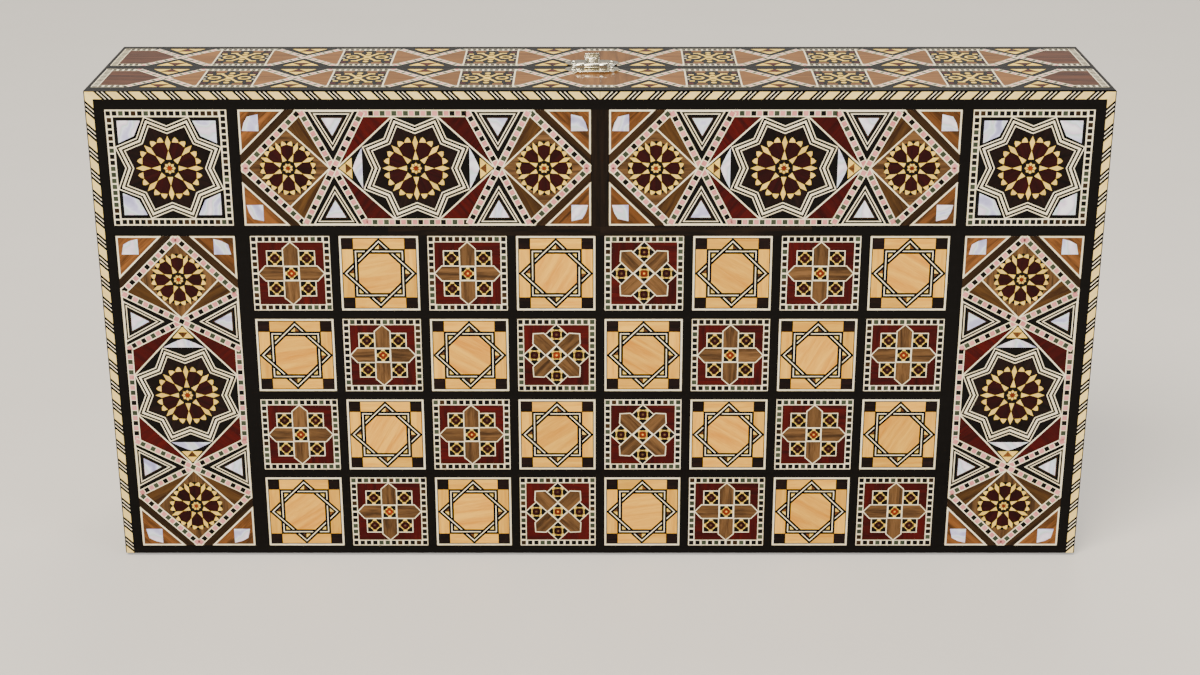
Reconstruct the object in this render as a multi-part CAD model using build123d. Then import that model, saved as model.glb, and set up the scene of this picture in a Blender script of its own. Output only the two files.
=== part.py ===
from build123d import *
import os
from math import cos, pi, sin

os.makedirs("parts", exist_ok=True)

# A folding games box: two equal wooden trays, hinged along one long edge. Shut, it stands on the
# hinge edge. Opened flat, the outer faces of the two trays make one chessboard, and the inner
# faces make a backgammon board. +X runs along the hinge, -Y is the front and +Z is up. The
# origin is the middle of the shut box's footprint, on the surface that it stands on.

# Driving dimensions, mm
board = 500.0  # side of the open board, and length of the hinge edge
half_depth = 46.0  # thickness of one tray
seam_gap = 0.2  # between the two trays, shut or opened flat
skin = 1.2  # thickness of the marquetry
panel_thick = 4.0  # wooden panel under the marquetry
wall_thick = 10.0  # tray walls, without their marquetry
field_thick = 0.8  # inlaid floor of the tray
knuckle_r = 1.5  # hinge knuckle, whose lowest line carries the shut box
pin_r = 0.6
fit = 0.03  # radial clearance round a pin

# Layout of the marquetry, mm
banding = 4.4  # patterned edge banding
border = 9.75  # edge of the board to the panels
panel_width = 59.0
panel_gap = 5.5
square = 39.3  # one chess square
pitch = 44.0  # from one chess square to the next
columns, rows = 8, 4  # chess squares on one tray

# Derived places
tray = board / 2
wood_bottom = knuckle_r + seam_gap / 2
wood_top = wood_bottom + tray
half_board = board / 2
core_x = half_board - skin  # half length of the trays without their marquetry
core_top = tray - skin
core_face = -half_depth + skin
wall_back = core_face + panel_thick
rim = -seam_gap / 2
panel_length = (rows - 1) * pitch + square
fold_margin = tray - border - panel_width - panel_gap - panel_length
inner_x = core_x - wall_thick
inner_top = core_top - wall_thick
upper_row = fold_margin + panel_length + panel_gap + panel_width / 2  # middle of the top panels
side_middle = fold_margin + panel_length / 2

# Planes that marquetry is laid on. Its thickness goes inwards from the face. On the board face, y
# counts from the hinge edge up. On the edges of the tray, y counts from the seam to the face.
FACE = Plane(origin=(0, -half_depth, wood_bottom), x_dir=(1, 0, 0), z_dir=(0, -1, 0))
TOP = Plane(origin=(0, rim, wood_top), x_dir=(-1, 0, 0), z_dir=(0, 0, 1))
RIGHT = Plane(origin=(half_board, rim, wood_bottom), x_dir=(0, 0, 1), z_dir=(1, 0, 0))
LEFT = Plane(origin=(-half_board, rim, wood_bottom), x_dir=(0, 0, -1), z_dir=(-1, 0, 0))


# ---------------------------------------------------------------- outlines
def rectangle(left, bottom, right, top):
    """A rectangle between two corners."""
    return Polygon((left, bottom), (right, bottom), (right, top), (left, top), align=None)


def centred(width, depth):
    """A rectangle centred on the origin."""
    return rectangle(-width / 2, -depth / 2, width / 2, depth / 2)


def ring_points(radii, turn=0.0):
    """Eight rounds of points about the origin, taking each radius in turn."""
    count = 8 * len(radii)
    angles = [turn + 2 * pi * k / count for k in range(count)]
    return [(radii[k % len(radii)] * cos(a), radii[k % len(radii)] * sin(a)) for k, a in enumerate(angles)]


def octagram(tip, turn=0.0):
    """The outline of two crossed squares, whose eight tips lie at the radius tip."""
    notch = tip * cos(pi / 4) / cos(pi / 8)
    return Polygon(*ring_points([tip, notch], turn), align=None)


def octagon(radius, turn=0.0):
    """An eight-sided disc with its corners at the radius."""
    return Polygon(*ring_points([radius], turn), align=None)


def cross(reach, width):
    """A plus with four equal arms."""
    return centred(2 * reach, width) + centred(width, 2 * reach)


def mirrored(points):
    """One outline and its reflections left to right and top to bottom."""
    return [
        Polygon(*[(h * x, v * y) for x, y in points], align=None) for h in (1, -1) for v in (1, -1)
    ]


# ---------------------------------------------------------------- marquetry
def lay(plane, outlines, thickness=skin):
    """Flush pieces of veneer: each outline cut through the thickness, below the plane."""
    return [extrude(plane * outline, amount=thickness, dir=-plane.z_dir) for outline in outlines]


def moved(outlines, x, y, turn=0.0):
    """The outlines turned about the origin, then moved."""
    return [Pos(x, y) * Rot(0, 0, turn) * outline for outline in outlines]


star_tip = 28.0  # large eight-pointed star
strap = 4.0  # width of its banded strap, at right angles to the edge
star_turn = pi / 8
inner_tip = star_tip - strap / sin(pi / 4)  # a right-angled tip moves in by more than its edges
rosette_r = 17.0  # corner of the eight-sided rosette ground in a long panel


def large_star(rosette):
    """The star's strap round a rosette ground of the given outline, and that ground."""
    return octagram(star_tip, star_turn) - rosette, rosette


def medallion():
    """A corner panel: bead-framed ground, and a strap star that keeps its width round the rosette."""
    strapwork, rosette = large_star(octagram(inner_tip, star_turn))
    ground = centred(panel_width, panel_width) - octagram(star_tip, star_turn)
    return {"panel_grounds": [ground], "strapwork": [strapwork], "rosettes": [rosette]}


crossing = 39.6  # from the middle of a long panel to where its bead strips cross
hexagon_half = 25.5  # half the straight side of its middle hexagon
rhombus_peak = 56.3  # from the middle to the end rhombus's peak


def long_panel():
    """A long panel: hexagon with a star in the middle, a rhombus at each end, triangles between."""
    half, edge = panel_length / 2, panel_width / 2
    strapwork, rosette = large_star(octagon(rosette_r))
    hexagon = Polygon(
        (crossing, 0), (hexagon_half, edge), (-hexagon_half, edge),
        (-crossing, 0), (-hexagon_half, -edge), (hexagon_half, -edge), align=None,
    )
    rhombi = [
        Polygon((s * half, 0), (s * rhombus_peak, edge), (s * crossing, 0), (s * rhombus_peak, -edge), align=None)
        for s in (1, -1)
    ]
    return {
        "panel_grounds": [hexagon - octagram(star_tip, star_turn)],
        "strapwork": [strapwork],
        "rosettes": [rosette],
        "rhombi": rhombi,
        "nested_triangles": mirrored([(rhombus_peak, edge), (hexagon_half, edge), (crossing, 0)]),
        "corner_triangles": mirrored([(half, edge), (rhombus_peak, edge), (half, 0)]),
    }


square_star = 18.3  # tip of the star in a light square
cross_width = 8.4  # arms of the cross in a dark square


def light_square():
    """A light chess square: a tile and the eight-pointed star let into it."""
    star = octagram(square_star)
    return {"light_squares": [centred(square, square) - star], "light_stars": [star]}


def dark_square(turn):
    """A dark chess square: a cross to the tile's edge or corners, and the four blocks that it parts."""
    tile = centred(square, square)
    plus = tile & (Rot(0, 0, turn) * cross(square, cross_width))
    return {"dark_squares": list((tile - plus).faces()), "dark_crosses": [plus]}


def square_middle(column, row):
    """The middle of a chess square; columns count from the left, rows from the fold."""
    return (column - (columns - 1) / 2) * pitch, fold_margin + square / 2 + row * pitch


def ebony_strips():
    """The ebony stringing that fills the face between the panels and the chess squares."""
    edge, top_edge = half_board - banding, tray - banding
    panel_out = half_board - border
    panel_in = panel_out - panel_width
    lower_top = fold_margin + panel_length
    upper_bottom, upper_top = lower_top + panel_gap, tray - border
    field = ((columns - 1) * pitch + square) / 2
    strips = [
        rectangle(-edge, 0, edge, fold_margin),
        rectangle(-edge, lower_top, edge, upper_bottom),
        rectangle(-edge, upper_top, edge, top_edge),
        rectangle(-fold_margin, upper_bottom, fold_margin, upper_top),
    ]
    for side in (-1, 1):
        outer, inner = sorted((side * edge, side * panel_out)), sorted((side * panel_in, side * field))
        between = sorted((side * panel_in, side * (panel_in - panel_gap)))
        strips.append(rectangle(outer[0], fold_margin, outer[1], lower_top))
        strips.append(rectangle(outer[0], upper_bottom, outer[1], upper_top))
        strips.append(rectangle(inner[0], fold_margin, inner[1], lower_top))
        strips.append(rectangle(between[0], upper_bottom, between[1], upper_top))
    for row in range(rows - 1):
        low = square_middle(0, row)[1] + square / 2
        strips.append(rectangle(-field, low, field, low + pitch - square))
    for row in range(rows):
        for column in range(columns - 1):
            x, middle = square_middle(column, row)
            x += square / 2
            strips.append(rectangle(x, middle - square / 2, x + pitch - square, middle + square / 2))
    return strips


edge_chamfer = 0.6


def edge_banding():
    """Three mitred strips round the face, all but the hinge edge, with their outer edge eased."""
    out_x, in_x, in_top = half_board, half_board - banding, tray - banding
    side = [(out_x, 0), (out_x, tray), (in_x, in_top), (in_x, 0)]
    top = [(-out_x, tray), (out_x, tray), (in_x, in_top), (-in_x, in_top)]
    outlines = [Polygon(*side, align=None), Polygon(*[(-x, y) for x, y in side], align=None), Polygon(*top, align=None)]
    eased = []
    for piece, axis in zip(lay(FACE, outlines), (Axis.X, Axis.X, Axis.Z)):
        front = piece.faces().sort_by(Axis.Y)[0]
        outer = front.edges().sort_by(axis)
        outer = outer[0] if piece.center().X < -half_board / 2 else outer[-1]
        eased.append(chamfer(outer, edge_chamfer))
    return eased


seam_border, face_border = 3.5, 5.1  # plain ebony beside the seam and beside the board face
hexagon_run = 17.0  # from a crossing to the hexagon's corner, along the strip
crossings = (24.0, 87.6, 151.2, 214.8)  # from the middle of the clasp edge
edge_depth = half_depth - skin + rim  # of an edge strip, seam to face


def borders(low, high):
    """The two plain ebony borders of an edge strip."""
    return [
        rectangle(low, 0, high, seam_border),
        rectangle(low, edge_depth - face_border, high, edge_depth),
    ]


def clasp_edge_strip():
    """Marquetry of the clasp edge: wooden hexagons between crossings, with ebony triangles."""
    near, far = seam_border, edge_depth - face_border
    middle = (near + far) / 2
    places = [-c for c in reversed(crossings)] + list(crossings)
    wood, ebony = [], borders(-half_board, half_board)
    for a, b in zip(places, places[1:]):
        left, right = a + hexagon_run, b - hexagon_run
        outline = [(a, middle), (left, near), (right, near), (b, middle), (right, far), (left, far)]
        wood.append(Polygon(*outline, align=None))
    for place in places:
        left, right = place - hexagon_run, place + hexagon_run
        for line in (near, far):
            ebony.append(Polygon((left, line), (place, middle), (right, line), align=None))
    for side in (-1, 1):
        end, corner, tip = side * half_board, side * (crossings[-1] + hexagon_run), side * crossings[-1]
        outline = [(end, near), (corner, near), (tip, middle), (corner, far), (end, far)]
        wood.append(Polygon(*outline, align=None))
    return lay(TOP, wood), lay(TOP, ebony)


def end_strips():
    """Marquetry ground of the two short edges: a long panel between ebony borders on each."""
    wood, ebony = [], []
    for plane, low, high in ((LEFT, -core_top, 0), (RIGHT, 0, core_top)):
        wood += lay(plane, [rectangle(low, seam_border, high, edge_depth - face_border)])
        ebony += lay(plane, borders(low, high))
    return wood, ebony


def face_marquetry():
    """All the inlay of one board face, as lists of pieces by name."""
    pieces = {"ebony_strips": lay(FACE, ebony_strips()), "edge_banding": edge_banding()}

    def place(design, x, y, turn=0.0):
        for name, outlines in design.items():
            pieces.setdefault(name, []).extend(lay(FACE, moved(outlines, x, y, turn)))

    corner_x = half_board - border - panel_width / 2
    long_x = fold_margin + panel_length / 2
    medallion_design, panel_design = medallion(), long_panel()
    light, upright, diagonal = light_square(), dark_square(0), dark_square(45)
    for side in (-1, 1):
        place(medallion_design, side * corner_x, upper_row)
        place(panel_design, side * long_x, upper_row)
        place(panel_design, side * corner_x, side_middle, 90)
    for row in range(rows):
        for column in range(columns):
            x, y = square_middle(column, row)
            if (row + column) % 2 == 0:
                place(light, x, y)
            else:
                place(diagonal if column in (columns // 2 - 1, columns // 2) else upright, x, y)
    return pieces


# ---------------------------------------------------------------- hinges
hinge_length = 60.0
hinge_places = (-150.0, 150.0)
leaf_thick, leaf_height = 1.0, 8.5
knuckle_count = 3
knuckle_gap = 0.15  # between neighbouring knuckles
mortise_gap = 0.05
AXIS = Plane(origin=(0, 0, knuckle_r), x_dir=(0, 1, 0), z_dir=(1, 0, 0))


def rod(radius, start, stop):
    """A round bar along the hinge axis."""
    return extrude(AXIS.offset(start) * Circle(radius), amount=stop - start)


def hinge_leaf(middle, first):
    """A front leaf with its share of the knuckles: every other one, from the given one."""
    left = middle - hinge_length / 2
    step = hinge_length / knuckle_count
    leaf = Pos(middle, -mortise_gap - leaf_thick / 2, wood_bottom + leaf_height / 2) * Box(
        hinge_length, leaf_thick, leaf_height
    )
    for k in range(knuckle_count):
        start, stop = left + k * step + knuckle_gap / 2, left + (k + 1) * step - knuckle_gap / 2
        if k % 2 == first:
            leaf += rod(knuckle_r, start, stop)
        else:
            leaf -= rod(knuckle_r + knuckle_gap, start - knuckle_gap, stop + knuckle_gap)
    leaf -= rod(pin_r + fit, left - knuckle_gap, left + hinge_length + knuckle_gap)
    return leaf


def hinge_pocket(rail):
    """The hinge rail of the front tray with a mortise for each leaf and its knuckles."""
    for middle in hinge_places:
        length = hinge_length + 2 * mortise_gap
        depth = leaf_thick + 2 * mortise_gap
        rail -= Pos(middle, -depth / 2, wood_bottom + (leaf_height + mortise_gap) / 2) * Box(
            length, depth, leaf_height + mortise_gap
        )
        rail -= rod(knuckle_r + knuckle_gap, middle - length / 2, middle + length / 2)
    return rail


# ---------------------------------------------------------------- trays
def frame_wall(points):
    """One mitred wall of the front tray, from its outline on the face."""
    wall_plane = Plane(origin=(0, wall_back, wood_bottom), x_dir=(1, 0, 0), z_dir=(0, -1, 0))
    return lay(wall_plane, [Polygon(*points, align=None)], rim - wall_back)[0]


def tray_walls():
    """The four mitred walls, the hinge rail with its mortises."""
    hinge_rail = [(-core_x, 0), (core_x, 0), (inner_x, wall_thick), (-inner_x, wall_thick)]
    clasp_rail = [(-core_x, core_top), (core_x, core_top), (inner_x, inner_top), (-inner_x, inner_top)]
    right = [(core_x, 0), (core_x, core_top), (inner_x, inner_top), (inner_x, wall_thick)]
    return {
        "hinge_rail": [hinge_pocket(frame_wall(hinge_rail))],
        "clasp_rail": [frame_wall(clasp_rail)],
        "right_end": [frame_wall(right)],
        "left_end": [frame_wall([(-x, y) for x, y in right])],
    }


def tray_panel():
    """The panel that carries the marquetry on one side and the tray's floor on the other."""
    plane = Plane(origin=(0, core_face, wood_bottom), x_dir=(1, 0, 0), z_dir=(0, -1, 0))
    return lay(plane, [rectangle(-core_x, 0, core_x, core_top)], panel_thick)


points_per_end = 6
point_length = 190.0


def tray_floor():
    """The backgammon field inside a tray, and the twelve tapering points inlaid in it."""
    plane = Plane(origin=(0, wall_back, wood_bottom), x_dir=(1, 0, 0), z_dir=(0, -1, 0))
    width = (inner_top - wall_thick) / points_per_end
    points = []
    for side in (-1, 1):
        for k in range(points_per_end):
            low = wall_thick + k * width
            base, tip = side * inner_x, side * (inner_x - point_length)
            points.append(Polygon((base, low), (tip, low + width / 2), (base, low + width), align=None))
    field = rectangle(-inner_x, wall_thick, inner_x, inner_top) - points
    return {"tray_field": lay(plane, [field], field_thick), "field_points": lay(plane, points, field_thick)}


def front_tray():
    """Every piece of the front tray but its metalwork, as lists of solids by name."""
    pieces = face_marquetry()
    pieces.update(tray_walls())
    pieces.update(tray_floor())
    pieces["panel"] = tray_panel()
    pieces["top_hexagons"], pieces["top_ebony"] = clasp_edge_strip()
    pieces["end_panels"], pieces["end_ebony"] = end_strips()
    return pieces


# ---------------------------------------------------------------- clasp
clasp_x = -4.0  # the clasp sits a little left of the middle
plate_thick = 0.8
plate_width, plate_depth = 27.0, 12.2
ear_r = 5.2
plate_gap = 0.3  # from the seam to each plate
tongue_width, tongue_thick, tongue_end = 7.5, 0.8, 10.5
tongue_knuckle_r = 1.25
lug_r, lug_length, lug_gap = 1.4, 3.9, 0.1
clasp_pin_r = 0.5
pivot_y = -6.0
lip_height = 2.2
slot_low, slot_high, slot_width = 4.8, 8.0, 4.4
nib_width, nib_depth, nib_height = 3.4, 1.9, 2.6
pivot_z = wood_top + plate_thick + lug_r
PIVOT = Plane(origin=(clasp_x, pivot_y, pivot_z), x_dir=(0, 1, 0), z_dir=(1, 0, 0))


def pivot_rod(radius, start, stop):
    """A round bar along the tongue's pivot."""
    return extrude(PIVOT.offset(start) * Circle(radius), amount=stop - start)


def clasp_plate(side):
    """A thin plate with rounded ears on one tray's top edge; side is -1 in front and 1 behind."""
    middle = side * (plate_gap + plate_depth / 2)
    ear_x = plate_width / 2 - ear_r
    outline = centred(2 * ear_x, plate_depth) + [Pos(s * ear_x, 0) * Circle(ear_r) for s in (-1, 1)]
    return extrude(Pos(clasp_x, middle, wood_top) * outline, amount=plate_thick)


def front_clasp_plate():
    """The front plate with the two lugs that hold the pivot."""
    plate = clasp_plate(-1)
    start = tongue_width / 2 + lug_gap
    for side in (-1, 1):
        near, far = sorted((side * start, side * (start + lug_length)))
        foot = Pos(clasp_x + (near + far) / 2, pivot_y, wood_top + (plate_thick + lug_r) / 2) * Box(
            lug_length, 2 * lug_r, plate_thick + lug_r
        )
        plate += foot + pivot_rod(lug_r, near, far)
    reach = start + 2 * lug_length
    return plate - pivot_rod(clasp_pin_r + fit, -reach, reach)


def rear_clasp_plate():
    """The rear plate with the nib that the tongue's slot drops over."""
    middle = (slot_low + slot_high) / 2
    nib = Pos(clasp_x, middle, wood_top + (plate_thick + nib_height) / 2) * Box(
        nib_width, nib_depth, plate_thick + nib_height
    )
    top_edges = nib.edges().filter_by(Axis.X).group_by(Axis.Z)[-1]
    return clasp_plate(1) + chamfer(top_edges, nib_depth / 4)


def tongue():
    """The slotted tongue with its rolled end on the pivot and a turned-up lip."""
    low = pivot_z - tongue_thick / 2
    body = Pos(clasp_x, (pivot_y + tongue_end) / 2, pivot_z) * Box(
        tongue_width, tongue_end - pivot_y, tongue_thick
    )
    lip = Pos(clasp_x, tongue_end - tongue_thick / 2, low + (lip_height + tongue_thick) / 2) * Box(
        tongue_width, tongue_thick, lip_height + tongue_thick
    )
    slot = Pos(clasp_x, (slot_low + slot_high) / 2, pivot_z) * Box(
        slot_width, slot_high - slot_low, 2 * tongue_thick
    )
    half = tongue_width / 2
    shape = body + lip + pivot_rod(tongue_knuckle_r, -half, half) - slot
    return shape - pivot_rod(clasp_pin_r + fit, -half, half)


def clasp_pin():
    """The pin through both lugs and the tongue."""
    reach = tongue_width / 2 + lug_gap + lug_length
    return pivot_rod(clasp_pin_r, -reach, reach)


# ---------------------------------------------------------------- the whole box
def write(name, solids):
    """Write a node's solids, kept apart, to its own STEP file."""
    flat = [solid for shape in solids for solid in shape.solids()]
    export_step(flat[0] if len(flat) == 1 else Compound(children=flat), f"parts/{name}.step")


HALF_TURN = Rot(0, 0, 180)
tray_pieces = front_tray()
first_knuckle = {"front": 0, "rear": 1}
for name, solids in tray_pieces.items():
    write(f"front_{name}", solids)
    write(f"rear_{name}", [HALF_TURN * solid for solid in solids])
for tray_name, turn in (("front", Rot(0, 0, 0)), ("rear", HALF_TURN)):
    leaves = [turn * hinge_leaf(x, first_knuckle[tray_name]) for x in hinge_places]
    write(f"{tray_name}_hinge_leaves", leaves)
hinge_ends = [(x - hinge_length / 2, x + hinge_length / 2) for x in hinge_places]
write("hinge_pins", [rod(pin_r, low, high) for low, high in hinge_ends])
write("front_clasp_plate", [front_clasp_plate()])
write("rear_clasp_plate", [rear_clasp_plate()])
write("clasp_tongue", [tongue()])
write("clasp_pin", [clasp_pin()])
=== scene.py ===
# %% [markdown]
# # A folding games box in star marquetry
#
# The object is a flat box of two equal trays, hinged along one long edge. Shut, it stands on that
# edge. Opened flat, its outer faces make a chessboard. Every outer face is covered with marquetry:
# little slips of wood, bone and mother of pearl, glued side by side and lacquered until they shine.
# The trays, hinges and clasp come from the CAD model, which we load first and never move.

# %% Load the frame
import bmesh
import bpy
import numpy as np
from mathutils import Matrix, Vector


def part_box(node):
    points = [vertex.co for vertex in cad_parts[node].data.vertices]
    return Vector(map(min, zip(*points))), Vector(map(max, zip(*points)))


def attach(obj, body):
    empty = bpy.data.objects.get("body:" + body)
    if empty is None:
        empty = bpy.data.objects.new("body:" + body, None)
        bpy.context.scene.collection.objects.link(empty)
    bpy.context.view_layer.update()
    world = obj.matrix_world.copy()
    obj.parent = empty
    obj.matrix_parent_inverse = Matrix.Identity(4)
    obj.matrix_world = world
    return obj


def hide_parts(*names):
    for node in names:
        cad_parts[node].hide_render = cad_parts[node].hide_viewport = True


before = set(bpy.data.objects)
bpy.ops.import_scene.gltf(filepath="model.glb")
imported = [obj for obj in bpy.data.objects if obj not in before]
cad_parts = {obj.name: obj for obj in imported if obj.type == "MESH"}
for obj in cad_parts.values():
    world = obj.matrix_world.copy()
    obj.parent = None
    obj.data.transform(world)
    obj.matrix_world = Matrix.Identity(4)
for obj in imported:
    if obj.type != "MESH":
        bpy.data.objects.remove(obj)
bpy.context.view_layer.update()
MM = 0.001  # every length below is in millimetres until it goes into a mesh

# %% [markdown]
# ## Measure the trays
# A craftsman lays out marquetry from the edges of the finished box. We do the same: the box's
# length, depth and foot are read from CAD nodes, so the inlay always lands where the CAD says.

# %% Sizes read from the frame
banding_low, banding_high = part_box("front_edge_banding")
HALF = banding_high.x / MM  # half the length of the box
FOOT = banding_low.z / MM  # lowest line of the wood, just above the table
TALL = (banding_high.z - banding_low.z) / MM
FACE = -banding_low.y / MM  # from the seam between the trays to the board face
RIM = -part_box("front_clasp_rail")[1].y / MM  # half the gap between the trays
print(f"half length {HALF:.1f}, foot {FOOT:.1f}, height {TALL:.1f}, tray depth {FACE:.1f}, rim {RIM:.2f}")

# %% [markdown]
# ## Four drawing boards
# All patterns are drawn flat, in millimetres, and then carried on to the box. A drawing board is an
# origin and two directions: a point (u, v) lies at origin + u along + v across. The third direction
# points out of the wood. The board face counts v from the hinge edge up; the three edges of the box
# count it from the seam towards the board face.

# %% Drawing boards
def drawing_board(origin, along, across):
    """Origin, two unit directions, and their cross product, which points out of the wood."""
    return np.array([origin, along, across, np.cross(along, across)], float)


BOARDS = {
    "face": drawing_board((0, -FACE, FOOT), (1, 0, 0), (0, 0, 1)),
    "clasp_edge": drawing_board((0, -RIM, FOOT + TALL), (-1, 0, 0), (0, -1, 0)),
    "right_end": drawing_board((HALF, -RIM, FOOT), (0, 0, 1), (0, -1, 0)),
    "left_end": drawing_board((-HALF, -RIM, FOOT), (0, 0, -1), (0, -1, 0)),
}


def to_space(board, flat, depth):
    """Carries flat points on to a board and sinks them: origin + u along + v across - depth out."""
    origin, along, across, out = BOARDS[board]
    return origin + flat[..., :1] * along + flat[..., 1:] * across - depth * out


for board_name, board in BOARDS.items():
    print(board_name, "faces", board[3])

# %% [markdown]
# ## Outlines as arrays
# One slip of veneer is an outline: a row of (u, v) points. Slips with the same number of corners are
# kept together in one array of shape (slips, corners, 2), so that a whole frame of beads is turned,
# moved or shrunk by one line of numpy.

# %% Outline helpers
def spokes(count, first=0.0):
    """Equal angles round a circle, in degrees."""
    return first + 360 / count * np.arange(count)


def polar(radii, degrees):
    """Points at the given radii and angles, as (r cos a, r sin a)."""
    a = np.radians(np.array(degrees, float))
    return np.stack([np.array(radii) * np.cos(a), np.array(radii) * np.sin(a)], -1)


def ngon(radius, count, first=0.0):
    """A regular polygon with its first corner at first degrees."""
    return polar([radius] * count, spokes(count, first))


def rect(left, bottom, right, top):
    """The four corners of a rectangle, anticlockwise."""
    return np.array([(left, bottom), (right, bottom), (right, top), (left, top)], float)


def centred(half_u, half_v):
    """A rectangle about the origin."""
    return rect(-half_u, -half_v, half_u, half_v)


def turned(outlines, degrees):
    """Outlines turned about the origin: (u cos a - v sin a, u sin a + v cos a)."""
    c, s = np.cos(np.radians(degrees)), np.sin(np.radians(degrees))
    return np.asarray(outlines, float) @ np.array([[c, s], [-s, c]])


def copies(outlines, count, first=0.0):
    """The outlines repeated round the origin, count times at equal angles."""
    outlines = np.asarray(outlines, float)
    outlines = outlines.reshape(-1, *outlines.shape[-2:])
    return np.concatenate([turned(outlines, angle) for angle in spokes(count, first)])


def four_ways(*outlines):
    """Each outline with its reflections left to right and top to bottom."""
    flips = np.array([(1, 1), (-1, 1), (1, -1), (-1, -1)], float)
    return (np.array(outlines, float)[None] * flips[:, None, None]).reshape(-1, *np.shape(outlines)[-2:])


print("a triangle copied round:", copies(ngon(1, 3), 4).shape, "and four ways:", four_ways(ngon(1, 3)).shape)

# %% [markdown]
# The next helpers work on the edges of an outline: they pull it in, put its corners in order, or make
# strips of one width. Shrinking is what leaves an even line of bone or ebony round a slip.

# %% Edge helpers
def shrunk(outlines, distance):
    """Outlines pulled in by a distance. Each corner moves by distance (n1 + n2) / (1 + n1.n2), where n1
    and n2 are the inward unit normals of its two edges. Outlines run anticlockwise."""
    step = np.roll(outlines, -1, axis=-2) - outlines
    step = step / np.linalg.norm(step, axis=-1, keepdims=True)
    after = np.stack([-step[..., 1], step[..., 0]], -1)
    before = np.roll(after, 1, axis=-2)
    share = 1 + (after * before).sum(-1, keepdims=True)
    return outlines + distance * (after + before) / np.maximum(share, 0.08)


def anticlockwise(outlines):
    """Outlines whose signed area, half the sum of u v' - v u' round the edge, is negative are reversed."""
    u, v = outlines[..., 0], outlines[..., 1]
    area = (u * np.roll(v, -1, -1) - v * np.roll(u, -1, -1)).sum(-1)
    return np.where((area < 0)[:, None, None], outlines[:, ::-1], outlines)


def bars(starts, ends, width):
    """Straight strips of one width between pairs of points, with square ends."""
    starts, ends = np.atleast_2d(starts).astype(float), np.atleast_2d(ends).astype(float)
    way = (ends - starts) / np.linalg.norm(ends - starts, axis=-1, keepdims=True)
    side = np.stack([-way[:, 1], way[:, 0]], -1) * width / 2
    return np.stack([starts - side, ends - side, ends + side, starts + side], 1)


def band_between(outer, inner):
    """The strips that fill the space between two outlines with matching corners, one per edge."""
    return np.stack([outer, np.roll(outer, -1, 0), np.roll(inner, -1, 0), inner], 1)


print("a bar from (0, 0) to (10, 0):", bars((0, 0), (10, 0), 2).tolist())

# %% [markdown]
# ## Cutting slips on a line
# Where a strip runs into a border it is cut off flush. Walking round an outline, each edge either
# stays, goes, or is cut where its distance from the line changes sign.

# %% Trim
def trimmed(outlines, normal, limit):
    """The parts of outlines with point . normal <= limit, as a list of arrays, one per corner count."""
    kept = {}
    for outline in outlines:
        after = np.roll(outline, -1, 0)
        here = outline @ np.array(normal, float) - limit
        there = np.roll(here, -1)
        share = np.where(here * there < 0, here / np.where(here == there, 1, here - there), 0)[:, None]
        both = np.stack([outline, outline + share * (after - outline)], 1).reshape(-1, 2)
        wanted = np.stack([here <= 1e-9, here * there < -1e-12], 1).reshape(-1)
        if wanted.sum() > 2:
            kept.setdefault(int(wanted.sum()), []).append(both[wanted])
    return [np.array(group) for group in kept.values()]


def trimmed_box(outlines, left, bottom, right, top):
    """Outlines trimmed by the four sides of a rectangle."""
    groups = [np.asarray(outlines, float)]
    for normal, limit in (((1, 0), right), ((-1, 0), -left), ((0, -1), -bottom), ((0, 1), top)):
        groups = [part for group in groups for part in trimmed(group, normal, limit)]
    return groups


print("a square cut corner to corner:", [g.shape for g in trimmed([rect(0, 0, 2, 2)], (1, 1), 2)])

# %% [markdown]
# ## Motifs and the cutting list
# A motif is a list of rows: the wood, the outlines, the layer and the direction of the grain. On the
# real box all slips lie flush. In a mesh, two flush faces at one place would flicker, so each layer
# sits a hundredth of a millimetre above the one below it: far too little to see, enough to sort them.

# %% Motifs
LAYER = 0.012  # height of one layer
TOP_LAYER = 9  # this layer is flush with the CAD face
cutting_list = {}


def slips(wood, outlines, layer, grain=0.0):
    """One row of a motif."""
    outlines = np.asarray(outlines, float)
    return (wood, outlines.reshape(-1, *outlines.shape[-2:]), layer, np.asarray(grain, float))


def how_many(motif):
    """How many slips a motif has."""
    return sum(len(row[1]) for row in motif)


def moved(motif, shift=(0, 0), scale=1.0, turn=0.0):
    """A motif scaled, then turned, then shifted."""
    return [(wood, turned(o * scale, turn) + shift, layer, grain + turn) for wood, o, layer, grain in motif]


def place(board, motif, u=0.0, v=0.0, turn=0.0, mirror=False):
    """Turns and moves a motif, or mirrors it left to right, and adds it to the cutting list."""
    for wood, outlines, layer, grain in moved(motif, (u, v), 1.0, turn):
        grain = np.broadcast_to(grain, len(outlines))
        if mirror:
            outlines, grain = outlines * (-1, 1), 180 - grain
        cutting_list.setdefault(wood, []).append((board, anticlockwise(outlines), layer, grain))


print(f"the lowest layer lies {(TOP_LAYER - 1) * LAYER:.3f} mm below the highest")

# %% [markdown]
# ## Bead strips
# The frames round the squares are bone strips with little dark cubes let in at even steps, like
# beads on a string. A bone worker saws them from a sandwich of sheets. In the long panels, and where
# strips cross on the edges of the box, every second bead is pink-stained bone.

# %% Bead strips
luck = np.random.default_rng(7)


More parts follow.
